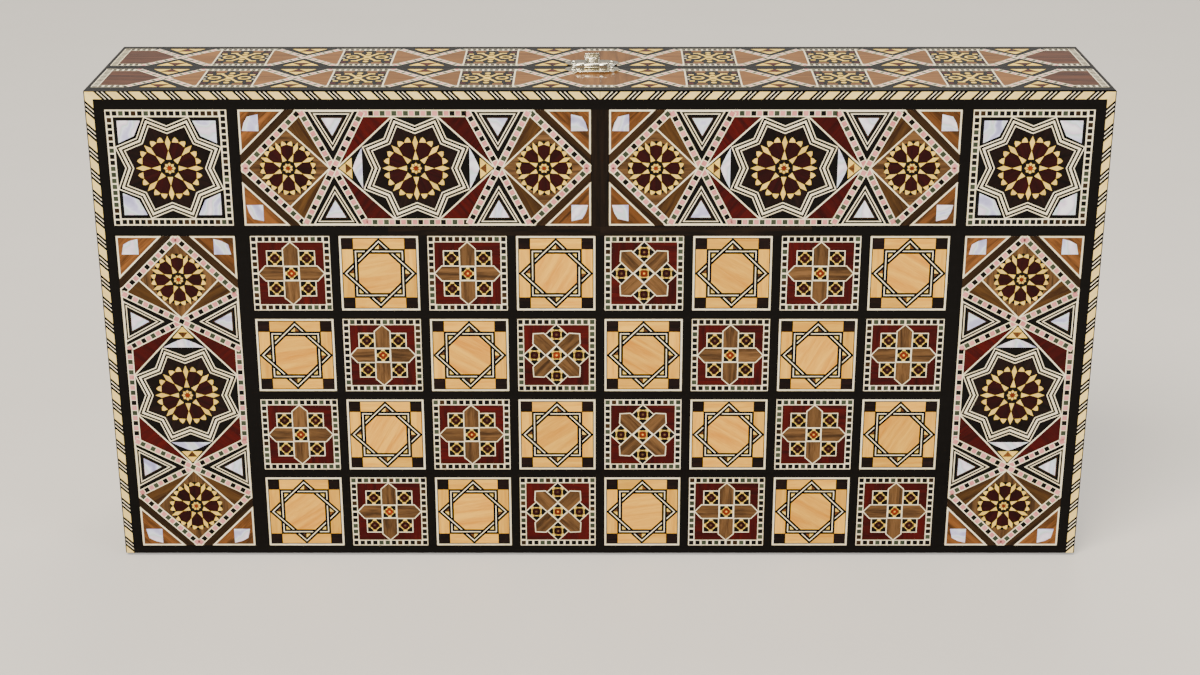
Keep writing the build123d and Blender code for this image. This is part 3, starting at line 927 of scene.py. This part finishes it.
# %% [markdown]
# The second group is the lacquer's surface. Brushed and rubbed lacquer is never a perfect mirror: it
# has broad soft waves and a faint orange peel. The group adds them to the height below and gives a
# roughness that wanders a little, as polish does. Its map is in metres, so the scales 16, 420 and 60
# stand for waves 62 mm wide, peel 2.4 mm wide and rubbed patches 17 mm wide.

# %% The lacquer group
lacquer, given, out = new_group(
    "lacquer_skin",
    {"Vector": "Vector", "Under": 0.5, "Show": 0.12, "Roughness": 0.2},
    {"Height": "Float", "Roughness": "Float"},
)
waves = noise(given["Vector"], 16.0, 1.0)
peel = noise(given["Vector"], 420.0, 1.0)
rubbed = noise(given["Vector"], 60.0, 3.0)
feed(out, Height=waves + peel * 0.05 + given["Under"] * given["Show"],
     Roughness=(rubbed - 0.5) * 0.12 + given["Roughness"])
print("lacquer_skin nodes:", len(lacquer.nodes))

# %% [markdown]
# ## One function for lacquered wood
# A slip brings its own map, called grain, whose first direction runs along the fibres, and a number
# called tone. CAD pieces have neither, so their wood reads Object coordinates, turned by a Mapping
# node until x runs along the grain. The coat is the lacquer: low in index, so that it shines at a
# glancing view and stays clear from the front.

# %% Lacquered wood
def principled(name):
    """A new material with its tree and its Principled shader."""
    material = bpy.data.materials.new(name)
    material.use_nodes = True
    tree = material.node_tree
    return material, tree, tree.nodes["Principled BSDF"]


def object_place(tree):
    """Object coordinates."""
    return signal(tree, "TexCoord", "Object")


def slip_place_and_tone(tree):
    """The two things a slip brings with it: its place in the grain map, and its tone."""
    return (signal(tree, "UVMap", 0, {"uv_map": "grain"}),
            signal(tree, "Attribute", "Fac", {"attribute_name": "tone"}))


def coat(tree, shader, height, show, roughness, gloss=0.06):
    """Lacquer over a surface: group height to Bump, rubbed roughness, and a clear coat."""
    skin = used(tree, lacquer, Vector=object_place(tree), Show=show, Roughness=roughness, Under=height)
    bump = signal(tree, "Bump", Strength=0.25, Distance=0.0004, Height=skin["Height"])
    feed(shader, Normal=bump, Roughness=skin["Roughness"], IOR=1.3, Specular_IOR_Level=0.05,
         Coat_Weight=1.0, Coat_Roughness=gloss, Coat_IOR=1.16)


def lacquered_wood(name, pale, dark, band, contrast, tone_range, gloss, along=None):
    """Wood under lacquer. Along is None for slips, or the turn about (x, y, z) in degrees for CAD wood."""
    material, tree, shader = principled(name)
    if along is None:
        at, tone = slip_place_and_tone(tree)
    else:
        turn, tone = tuple(np.radians(along)), 0.5
        at = signal(tree, "Mapping", Vector=object_place(tree), Rotation=turn, Scale=(1 / MM,) * 3)
    grain = used(tree, figure, Vector=at, Pale=colour(pale), Dark=colour(dark), Band_width=band,
                 Contrast=contrast, Tone=tone, Tone_range=tone_range)
    feed(shader, Base_Color=grain["Color"])
    coat(tree, shader, grain["Height"], show=0.25, roughness=0.38, gloss=gloss)
    return material


ground = lacquered_wood("ebony_ground", "060505", "030202", 0.8, 0.9, 0.0, 0.06, (0, 0, 0))
print("nodes of", ground.name + ":", len(ground.node_tree.nodes))

# %% [markdown]
# Every wood of the cutting list has one line in this table; bone and pearl follow it. After the seven
# values of a look come the slot of the CAD finish and the CAD nodes that the slips stand for.

# %% Woods
WOODS = {
    # material, pale and dark colour, band width, contrast, tone range, gloss; CAD slot; CAD nodes
    "ebony_slips": ("ebony", "070505", "030202", 1.0, 0.8, 0.5, 0.06, "ebony"),
    "rosewood": ("rosewood", "190b09", "070404", 1.2, 1.3, 0.9, 0.06, "ebony", "panel_grounds"),
    "banding": ("banding_maple", "fce595", "ecc872", 0.8, 0.7, 0.14, 0.06, "banding", "edge_banding"),
    "lemonwood": ("lemonwood", "f5d366", "e3b64a", 1.0, 0.8, 0.25, 0.06, "light_ground"),
    "maple": ("maple", "efb848", "d2902e", 0.8, 1.0, 0.3, 0.06, "light_ground", "light_squares"),
    "maple_heart": ("maple_heart", "efb544", "d28a2a", 0.55, 1.25, 0.2, 0.06, "maple", "light_stars"),
    "orange_wood": ("orange_wood", "794b24", "3a2310", 0.7, 1.4, 0.8, 0.06, "orange_wood", "corner_triangles"),
    "walnut": ("walnut", "70502f", "3a2716", 0.75, 1.5, 0.35, 0.06, "walnut", "dark_crosses", "rhombi"),
    "dark_walnut": ("dark_walnut", "35220f", "1a1008", 0.9, 1.3, 0.5, 0.06, "walnut"),
    "brown_walnut": ("brown_walnut", "523719", "2c1a0d", 0.8, 1.3, 0.4, 0.06, "walnut"),
    "smoked_walnut": ("smoked_walnut", "080504", "1c120b", 0.7, 1.6, 0.3, 0.06, "walnut"),
    "padauk": ("padauk", "4a0a08", "280404", 0.8, 1.1, 0.5, 0.06, "red_ground", "dark_squares"),
    "padauk_heart": ("padauk_heart", "8a3014", "4a180a", 1.2, 1.0, 0.4, 0.06, "red_ground"),
    "petals": ("dyed_petals", "2e0607", "180304", 0.9, 1.0, 0.45, 0.06, "rosette", "rosettes"),
    "beech": ("beech", "86592c", "5f3f20", 0.8, 1.1, 0.35, 0.06, "beech", "top_hexagons"),
    "mahogany": ("mahogany", "5c3521", "33190e", 0.7, 1.3, 0.4, 0.06, "beech", "end_panels"),
    "point_maple": ("point_maple", "f0cd92", "d9a367", 0.5, 1.1, 0.2, 0.15, "point_wood", "field_points"),
    "point_padauk": ("point_padauk", "6d2016", "40100b", 0.6, 1.1, 0.3, 0.15, "point_wood"),
}
woods = {wood: (lacquered_wood(*row[:7]), *row[7:]) for wood, row in WOODS.items()}
print("woods:", ", ".join(woods))

# %% [markdown]
# ## Bone and pearl
# Bone is creamy and almost even, with faint pores; the pink and green beads are the same bone,
# stained. Mother of pearl is built of thin wavy layers. A wave bent by noise gives the layers, and a
# colour ramp gives their lavender, silver and pale green.

# %% Bone
pores, given, out = new_group(
    "bone_pores",
    {"Vector": "Vector", "Pale": "Color", "Dark": "Color", "Tone": 0.5},
    {"Color": "Color", "Height": "Float"},
)
cloud = noise(given["Vector"], 0.35, 3.0, Roughness=0.65)
share = clamped(cloud * 1.6 + given["Tone"] * 0.5 - 0.75)
feed(out, Color=blend_colours(share, given["Pale"], given["Dark"]),
     Height=signal(pores, "TexVoronoi", "Distance", Vector=given["Vector"], Scale=2.6))


def bone(name, pale, dark):
    """Polished bone under lacquer, in its own or a stained colour."""
    material, tree, shader = principled(name)
    at, tone = slip_place_and_tone(tree)
    surface = used(tree, pores, Vector=at, Pale=colour(pale), Dark=colour(dark), Tone=tone)
    feed(shader, Base_Color=surface["Color"])
    coat(tree, shader, surface["Height"], show=0.08, roughness=0.3)
    return material


woods["bone"] = bone("bone", "f6ebcc", "dfcf9f"), "bone", "strapwork"
woods["pink_bone"] = bone("pink_bone", "e09490", "b86a66"), "bone"
woods["green_bone"] = bone("green_bone", "3c4534", "20271d"), "bone"
print("bone_pores nodes:", len(pores.nodes))

# %% Pearl
material, tree, shader = principled("mother_of_pearl")
woods["pearl"] = material, "pearl", "nested_triangles"
at, tone = slip_place_and_tone(tree)
bend = noise(at, 0.11, 3.0, Roughness=0.55)
layers = signal(tree, "TexWave", "Fac", {"bands_direction": "DIAGONAL"}, Vector=at, Scale=0.05,
                Distortion=5.5, Detail=2.0, Detail_Scale=1.4)
ramp = node(tree, "ValToRGB", Fac=layers * 0.45 + bend * 0.75 + (tone - 0.5) * 0.25)
stops = ramp.color_ramp.elements
stops[0].position, stops[0].color = 0.18, colour("9a9ac0")
stops[1].position, stops[1].color = 0.92, colour("f4f2f8")
for spot, code in ((0.36, "bdbbe0"), (0.5, "dde2f2"), (0.62, "c3d6d4"), (0.74, "e2cfe4")):
    stops.new(spot).color = colour(code)
feed(shader, Base_Color=Signal(ramp.outputs[0]))
coat(tree, shader, layers, show=0.5, roughness=0.24)
print("pearl ramp stops:", len(stops))

# %% [markdown]
# ## From cutting list to mesh
# Each slip becomes a closed prism 0.2 mm thick. Marquetry cutters lean the saw, so that a slip is a
# little smaller below than above and wedges tight; ours lean too. All slips of one wood make one
# mesh, so that each piece has one material. The arrays below hold every corner of every slip, and
# foreach_set copies them into the mesh without a loop over points.

# %% Slips to meshes
SLIP, LEAN = 0.2, 0.12  # thickness, and how far the sides lean in


def slip_arrays(board, outlines, layer, grain, dice):
    """Corners, faces, map and tone of slips that have k corners each. Corners 0..k-1 are the top outline
    and k..2k-1 the one below. Faces: top, bottom reversed, and a quad (i, i+k, j+k, j) for each edge."""
    n, k = outlines.shape[:2]
    below = shrunk(outlines, LEAN)
    depth = (TOP_LAYER - layer) * LAYER
    flat = np.concatenate([outlines, below], 1)
    points = np.concatenate([to_space(board, outlines, depth), to_space(board, below, depth + SLIP)], 1)
    i = np.arange(k)
    j = (i + 1) % k
    loops = np.concatenate([i, i[::-1] + k, np.stack([i, i + k, j + k, j], 1).reshape(-1)])
    angle = np.radians(grain)[:, None]
    along = flat[..., 0] * np.cos(angle) + flat[..., 1] * np.sin(angle)
    aside = -flat[..., 0] * np.sin(angle) + flat[..., 1] * np.cos(angle)
    mapped = np.stack([along, aside], -1) + dice.uniform(-400, 400, (n, 1, 2))
    tone = np.repeat(dice.random(n), 2 * k)
    corners = (loops[None] + 2 * k * np.arange(n)[:, None]).reshape(-1)
    return points.reshape(-1, 3), corners, np.tile(np.r_[k, k, np.full(k, 4)], n), mapped.reshape(-1, 2), tone


def fill_mesh(name, points, loops, sizes, mapped=None, tone=None):
    """A mesh from flat arrays: points in millimetres, vertex of each face corner, corners of each face."""
    mesh = bpy.data.meshes.new(name)
    mesh.vertices.add(len(points))
    mesh.vertices.foreach_set("co", (np.asarray(points) * MM).astype(np.float32).reshape(-1))
    mesh.loops.add(len(loops))
    mesh.loops.foreach_set("vertex_index", np.asarray(loops, np.int32))
    mesh.polygons.add(len(sizes))
    mesh.polygons.foreach_set("loop_start", np.r_[0, np.cumsum(sizes)[:-1]].astype(np.int32))
    mesh.update(calc_edges=True)
    mesh.validate()
    mesh.shade_flat()
    if mapped is not None:
        mesh.uv_layers.new(name="grain").data.foreach_set("uv", mapped[loops].astype(np.float32).reshape(-1))
        mesh.attributes.new("tone", "FLOAT", "POINT").data.foreach_set("value", tone.astype(np.float32))
    return mesh


def add_object(name, data):
    """A new object in the scene."""
    made = bpy.data.objects.new(name, data)
    bpy.context.scene.collection.objects.link(made)
    return made


def put(mesh, material, body, replaced=()):
    """An object at the origin with one material, riding on a body and standing for CAD nodes."""
    made = add_object(mesh.name, mesh)
    mesh.materials.append(material)
    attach(made, body)
    if replaced:
        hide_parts(*replaced)


one_slip = slip_arrays("face", rect(0, 0, 1, 1)[None], 1, np.zeros(1), np.random.default_rng(0))
print("a square slip has", len(one_slip[0]), "corners and", len(one_slip[2]), "faces")

# %% [markdown]
# The rear tray is the front tray after half a turn about the upright axis, so its points are the same
# with x and y negated. Each tray has its own dice, so that the two do not show the same figure.

# %% Build the inlay
TRAYS = {"front": np.ones(3), "rear": np.array([-1.0, -1.0, 1.0])}

for number, (tray, spin) in enumerate(TRAYS.items()):
    dice = np.random.default_rng(20 + number)
    for wood, rows in cutting_list.items():
        groups = [slip_arrays(*row, dice) for row in rows]
        points, corners, sizes, mapped, tone = map(np.concatenate, zip(*groups))
        starts = np.cumsum([0] + [len(group[0]) for group in groups[:-1]])
        corners += np.repeat(starts, [len(group[1]) for group in groups])
        mesh = fill_mesh(f"{tray}_{wood}_inlay", points * spin, corners, sizes, mapped, tone)
        material, slot, *nodes = woods[wood]
        put(mesh, material, f"{tray}_tray", [f"{tray}_{name}" for name in nodes])
        print(f"{mesh.name}: {how_many(rows)} slips, {int((sizes - 2).sum())} triangles")

# %% [markdown]
# ## The ebony ground
# Under the slips lies one skin of ebony, which shows between the panels. It is a profile carried
# along the U of the tray's left end, clasp edge and right end. The profile runs from the seam along
# the edge, round the arris and across the face to the middle, then back inside. Because the face is
# twice as long as it is high, the U shrinks to a point in the middle, so this one sweep covers it.

# %% Ebony skin
SKIN_DEPTH = TOP_LAYER * LAYER  # the ground lies this far below the CAD face
ARRIS, SKIN = 0.9, 1.2  # radius of the arris, and depth of the skin's inner side
ARC_STEPS = 6
EDGE_ZONE, MIDWAY = 6.0, 60.0  # two places where the flat sheet is divided
MIDDLE_GAP = 0.02  # the sheet stops this far before the U would shrink to a point


def skin_profile():
    """Points (a, d): a inwards from the tray's edge, d inwards from its face. The arris is a quarter
    circle of radius r about (r, r): a = r - r cos t, d = r - r sin t."""
    t = np.linspace(0, np.pi / 2, ARC_STEPS)
    arc = np.stack([ARRIS - ARRIS * np.cos(t), ARRIS - ARRIS * np.sin(t)], -1) + SKIN_DEPTH
    last, rim = TALL - MIDDLE_GAP, FACE - RIM
    start = [(SKIN_DEPTH, rim), (SKIN_DEPTH, rim / 2)]
    flat = [(EDGE_ZONE, SKIN_DEPTH), (MIDWAY, SKIN_DEPTH), (last, SKIN_DEPTH)]
    back = [(last, SKIN), (MIDWAY, SKIN), (SKIN, SKIN), (SKIN, rim / 2), (SKIN, rim)]
    return np.array(start + arc.tolist() + flat + back)


def skin_path(a):
    """The U at distance a from the edge, with corners rounded to radius r - a about a fixed centre."""
    radius = np.maximum(ARRIS + SKIN_DEPTH - a, 0.0)
    turn = np.linspace(np.pi, np.pi / 2, ARC_STEPS)
    reach = np.maximum(a, ARRIS + SKIN_DEPTH)
    corner = np.stack([reach - HALF + radius * np.cos(turn), TALL - reach + radius * np.sin(turn)], -1)
    left = np.concatenate([[[a - HALF, 0.0]], corner])
    return np.concatenate([left, left[::-1] * (-1, 1)])


profile = skin_profile()
path = np.stack([skin_path(a) for a in profile[:, 0]])
across, along = path.shape[:2]
sunk = np.broadcast_to(profile[:, 1:], (across, along))
points = np.stack([path[..., 0], sunk - FACE, path[..., 1] + FOOT], -1).reshape(-1, 3)
row, column = np.meshgrid(np.arange(across), np.arange(along - 1), indexing="ij")
here, below = row * along + column, (row + 1) % across * along + column
quads = np.stack([here, here + 1, below + 1, below], -1).reshape(-1)
left_cap = np.arange(across) * along
loops = np.concatenate([quads, left_cap, (left_cap + along - 1)[::-1]])
sizes = np.r_[np.full(len(quads) // 4, 4), across, across]
GROUND_NODES = ("ebony_strips", "top_ebony", "end_ebony")
for tray, spin in TRAYS.items():
    mesh = fill_mesh(f"{tray}_ebony_ground", points * spin, loops, sizes)
    work = bmesh.new()
    work.from_mesh(mesh)
    bmesh.ops.remove_doubles(work, verts=work.verts, dist=2e-6)
    bmesh.ops.dissolve_degenerate(work, edges=work.edges, dist=2e-6)
    bmesh.ops.recalc_face_normals(work, faces=work.faces)
    open_edges = sum(not edge.is_manifold for edge in work.edges)
    work.to_mesh(mesh)
    volume = work.calc_volume(signed=True) / MM**3
    work.free()
    mesh.shade_flat()
    put(mesh, ground, f"{tray}_tray", [f"{tray}_{name}" for name in GROUND_NODES])
    print(f"{mesh.name}: {len(mesh.polygons)} faces, {open_edges} open edges, {volume:.0f} cubic mm")

# %% [markdown]
# ## Trays
# The walls and the panels of the trays are CAD solids whose shape is right, so they stay and only
# get a finish: beech stained dark brown, with the grain along each wall. The floor of the field is
# walnut. A Mapping node turns the pattern for the two ends, whose grain runs upwards.

# %% Finish the trays
def finish(material, *nodes):
    """Assigns a material to all slots of CAD nodes."""
    for name in nodes:
        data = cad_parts[name].data
        if not data.materials:
            data.materials.append(material)
        for k in range(len(data.materials)):
            data.materials[k] = material


STAIN = ("4a2a1b", "27150d", 0.6, 1.2, 0.0, 0.1)
stained = lacquered_wood("stained_beech", *STAIN, (0, 0, 0))
stained_up = lacquered_wood("stained_beech_upright", *STAIN, (0, 90, 0))
field_walnut = lacquered_wood("field_walnut", "8d6344", "553823", 0.45, 1.3, 0.0, 0.15, (0, 0, 0))
for tray in TRAYS:
    finish(stained, f"{tray}_hinge_rail", f"{tray}_clasp_rail", f"{tray}_panel")
    finish(stained_up, f"{tray}_left_end", f"{tray}_right_end")
    finish(field_walnut, f"{tray}_tray_field")
print("tray finishes:", stained.name, stained_up.name, field_walnut.name)

# %% [markdown]
# ## Brass and nickel
# The hinges are plain brass; the clasp is pressed from thin brass and nickel plated. Plated metal
# shows fine rubbing lines, a soft change of colour where the plating is thin, and small dull spots.
# The group makes these from noise stretched one way and gives a colour, a roughness and a height.

# %% Metal
rubbed_metal, given, out = new_group(
    "rubbed_metal",
    {"Vector": "Vector", "Bright": "Color", "Worn": "Color", "Roughness": 0.2},
    {"Color": "Color", "Roughness": "Float", "Height": "Float"},
)
scratches = noise(stretched(given["Vector"], (300.0, 5200.0, 2600.0)), 1.0, 2.0)
patches = noise(given["Vector"], 260.0, 4.0, Roughness=0.6)
thin = clamped((patches - 0.42) * 3.0)
feed(out, Color=blend_colours(thin, given["Bright"], given["Worn"]), Height=scratches,
     Roughness=scratches * 0.14 + thin * 0.12 + given["Roughness"])


def metal(name, bright, worn, roughness):
    """Rubbed metal on Object coordinates."""
    material, tree, shader = principled(name)
    rub = used(tree, rubbed_metal, Vector=object_place(tree), Bright=colour(bright), Worn=colour(worn),
               Roughness=roughness)
    bump = signal(tree, "Bump", Strength=0.12, Distance=0.00002, Height=rub["Height"])
    feed(shader, Base_Color=rub["Color"], Roughness=rub["Roughness"], Normal=bump, Metallic=1.0)
    return material


nickel = metal("nickel_plate", "f2eddb", "c9b98c", 0.1)
brass = metal("hinge_brass", "d9b469", "a98443", 0.2)
finish(nickel, "clasp_pin")
finish(brass, "hinge_pins")
print("metals:", nickel.name, brass.name)

# %% [markdown]
# Sheet metal that has been pressed and tumbled has no sharp edges: each edge is a narrow curve that
# catches the light. We copy the CAD plates, leaves and tongue, and round every edge by a bevel. The
# copies stay inside the CAD shape, because a bevel only takes away.

# %% Soft edges
def softened(name, width, material, body):
    """A copy of a CAD node. Edges sharper than 30 degrees get a bevel of three segments, width in mm."""
    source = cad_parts[name]
    mesh = source.data.copy()
    mesh.name = f"{name}_soft"
    mesh.transform(source.matrix_world)
    mesh.materials.clear()
    work = bmesh.new()
    work.from_mesh(mesh)
    bmesh.ops.remove_doubles(work, verts=work.verts, dist=1e-6)
    bmesh.ops.dissolve_limit(work, angle_limit=np.radians(1), verts=work.verts, edges=work.edges)
    sharp = [edge for edge in work.edges if edge.calc_face_angle(0) > np.radians(30)]
    bmesh.ops.bevel(work, geom=sharp, offset=width * MM, segments=3, profile=0.5, affect="EDGES",
                    clamp_overlap=True)
    bmesh.ops.triangulate(work, faces=[face for face in work.faces if len(face.verts) > 4])
    open_edges = sum(not edge.is_manifold for edge in work.edges)
    work.to_mesh(mesh)
    work.free()
    mesh.shade_smooth()
    mesh.set_sharp_from_angle(angle=np.radians(40))
    put(mesh, material, body, [name])
    print(f"{mesh.name}: {len(mesh.polygons)} faces, {len(sharp)} edges rounded, {open_edges} open edges")


for tray in TRAYS:
    softened(f"{tray}_clasp_plate", 0.18, nickel, f"{tray}_tray")
softened("clasp_tongue", 0.25, nickel, "clasp_tongue")
for tray in TRAYS:
    softened(f"{tray}_hinge_leaves", 0.12, brass, f"{tray}_tray")

# %% [markdown]
# ## Nails and screws
# Each clasp plate is held by two dome nails and each hinge leaf by three slotted screws. All heads
# are one shape: a cap over a polar grid, height x (1 - (r / R) squared), with a slot pressed in
# across the middle of a screw. The bottom is closed by a flat face.

# %% Heads
def cap(radius, height, slot_half=0.0, slot_depth=0.0, rings=9, sectors=40):
    """Points (x, y, z) of a cap that rises along z, ring by ring with the middle point first, and its faces."""
    r = radius * np.sin(np.linspace(0, np.pi / 2, rings + 1))[1:, None]
    t = np.linspace(0, 2 * np.pi, sectors, endpoint=False)[None]
    x, y = r * np.cos(t), r * np.sin(t)
    z = height * (1 - (r / radius) ** 2) + 0 * t
    slot_floor = height * 0.4 - slot_depth
    z = np.where((np.abs(y) < slot_half) & (r < 0.93 * radius), np.minimum(z, slot_floor), z)
    top = slot_floor if slot_half else height
    foot = np.stack([x[-1], y[-1], np.full(sectors, -0.25)], -1)
    points = np.concatenate([[(0, 0, top)], np.stack([x, y, z], -1).reshape(-1, 3), foot])
    k = np.arange(sectors)
    after = (k + 1) % sectors
    fan = np.stack([0 * k, 1 + k, 1 + after], -1).reshape(-1)
    ring = (1 + np.arange(rings) * sectors)[:, None]
    quads = np.stack([ring + k, ring + sectors + k, ring + sectors + after, ring + after], -1).reshape(-1)
    bottom = (1 + rings * sectors + k)[::-1]
    sizes = np.r_[np.full(sectors, 3), np.full(rings * sectors, 4), sectors]
    return points, np.concatenate([fan, quads, bottom]), sizes


def heads(name, places, axes, shape, material, body):
    """Copies of a cap at several places. Axes are the directions of the cap's x, y and z."""
    points, loops, sizes = shape
    many = ((points @ np.array(axes, float))[None] + np.array(places, float)[:, None]).reshape(-1, 3)
    all_loops = (loops[None] + len(points) * np.arange(len(places))[:, None]).reshape(-1)
    mesh = fill_mesh(name, many, all_loops, np.tile(sizes, len(places)))
    mesh.shade_smooth()
    put(mesh, material, body)
    print(f"{name}: {len(places)} heads, {len(mesh.polygons)} faces")


plate_low, plate_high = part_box("rear_clasp_plate")
clasp_x = (plate_low.x + plate_high.x) / 2 / MM
plate_y = (plate_low.y + plate_high.y) / 2 / MM
PLATE_TOP, NAIL_SIDE = FOOT + TALL + 0.8, 9.6  # top of the plates, and the nails' distance from the middle
SCREW_Y, SCREW_Z = 0.05, FOOT + 5.9  # from the seam, and from the table
SCREW_X = [hinge + dx for hinge in (-150, 150) for dx in (-22, 0, 22)]
nail = cap(radius=1.85, height=1.0)
screw = cap(radius=1.7, height=0.045, slot_half=0.28, slot_depth=0.03)
for tray, way in (("front", -1), ("rear", 1)):
    nails = [(clasp_x + side * NAIL_SIDE, way * plate_y, PLATE_TOP) for side in (-1, 1)]
    heads(f"{tray}_clasp_nails", nails, np.eye(3), nail, nickel, f"{tray}_tray")
for tray, way in (("front", 1), ("rear", -1)):
    screws = [(way * x, -way * SCREW_Y, SCREW_Z) for x in SCREW_X]
    axes = [(way, 0, 0), (0, 0, -1), (0, way, 0)]  # a screw's own z points out of its leaf
    heads(f"{tray}_hinge_screws", screws, axes, screw, brass, f"{tray}_tray")

# %% [markdown]
# ## Floor, light and camera
# The box stands on a plain pale floor in soft light, as for a catalogue: a large soft light above
# and a little to the left, a weaker one from the right, and a pale world. When the box is opened,
# its rear tray swings below the floor, so the floor lets the camera see a part of what is under it.

# %% Stage
floor_material, tree, shader = principled("pale_floor")
speckle = noise(object_place(tree), 9.0, 5.0)
feed(shader, Base_Color=blend_colours(speckle, colour("e6ddce"), colour("ddd3c3")), Roughness=0.32,
     Specular_IOR_Level=0.35)
ray = node(tree, "LightPath").outputs
through = Signal(ray["Is Camera Ray"]) * 0.4 + Signal(ray["Is Shadow Ray"])
mix = signal(tree, "MixShader", _0=through, _1=Signal(shader.outputs[0]), _2=signal(tree, "BsdfTransparent"))
feed(tree.nodes["Material Output"], Surface=mix)

REACH = 4000.0
corners = [(-REACH, -REACH, 0), (REACH, -REACH, 0), (REACH, REACH, 0), (-REACH, REACH, 0)]
floor = add_object("floor", fill_mesh("floor", corners, [0, 1, 2, 3], [4]))
floor.data.materials.append(floor_material)

world = bpy.data.worlds.new("pale_room")
world.use_nodes = True
tree = world.node_tree
back = signal(tree, "SeparateXYZ", "Y", Vector=signal(tree, "TexCoord", "Generated"))
soft_step = {"interpolation_type": "SMOOTHSTEP"}  # from -0.3 to 0.9 the strength goes from 0.16 to 0.5
lit = signal(tree, "MapRange", 0, soft_step, Value=back, _1=-0.3, _2=0.9, _3=0.16, _4=0.5)
strength = signal(tree, "Mix", 0, _0=signal(tree, "LightPath", "Is Camera Ray"), _2=lit, _3=1.3)
feed(tree.nodes["Background"], Color=colour("efebe4"), Strength=strength)
bpy.context.scene.world = world
LOOKED_AT = Vector((0, 0, 0.12))


def soft_light(name, at, size, power, tint="fffaf2"):
    """A square area light that looks at the middle of the box."""
    data = bpy.data.lights.new(name, "AREA")
    data.shape, data.size, data.energy, data.color = "SQUARE", size, power, colour(tint)[:3]
    lamp = add_object(name, data)
    lamp.location = at
    lamp.rotation_euler = (LOOKED_AT - Vector(at)).to_track_quat("-Z", "Y").to_euler()


soft_light("key_light", (-0.9, -1.5, 2.7), size=1.5, power=190)
soft_light("fill_light", (1.8, -1.4, 1.3), size=1.2, power=36, tint="f4f6ff")
soft_light("back_light", (0.3, 1.6, 2.6), size=1.2, power=50)

# %% Camera
camera = add_object("camera", bpy.data.cameras.new("camera"))
camera.data.sensor_width, camera.data.lens = 36.0, 61.8
camera.location = (0.0, -FACE * MM - 0.970, FOOT * MM + 0.500)  # in front of the board face and above it
camera.rotation_euler = (np.radians(90 - 21.3), 0, 0)  # looking down by 21.3 degrees
camera.data.clip_start, camera.data.clip_end = 0.05, 50
bpy.context.scene.camera = camera
print("camera at", [round(v, 3) for v in camera.location], "lens", round(camera.data.lens, 1))
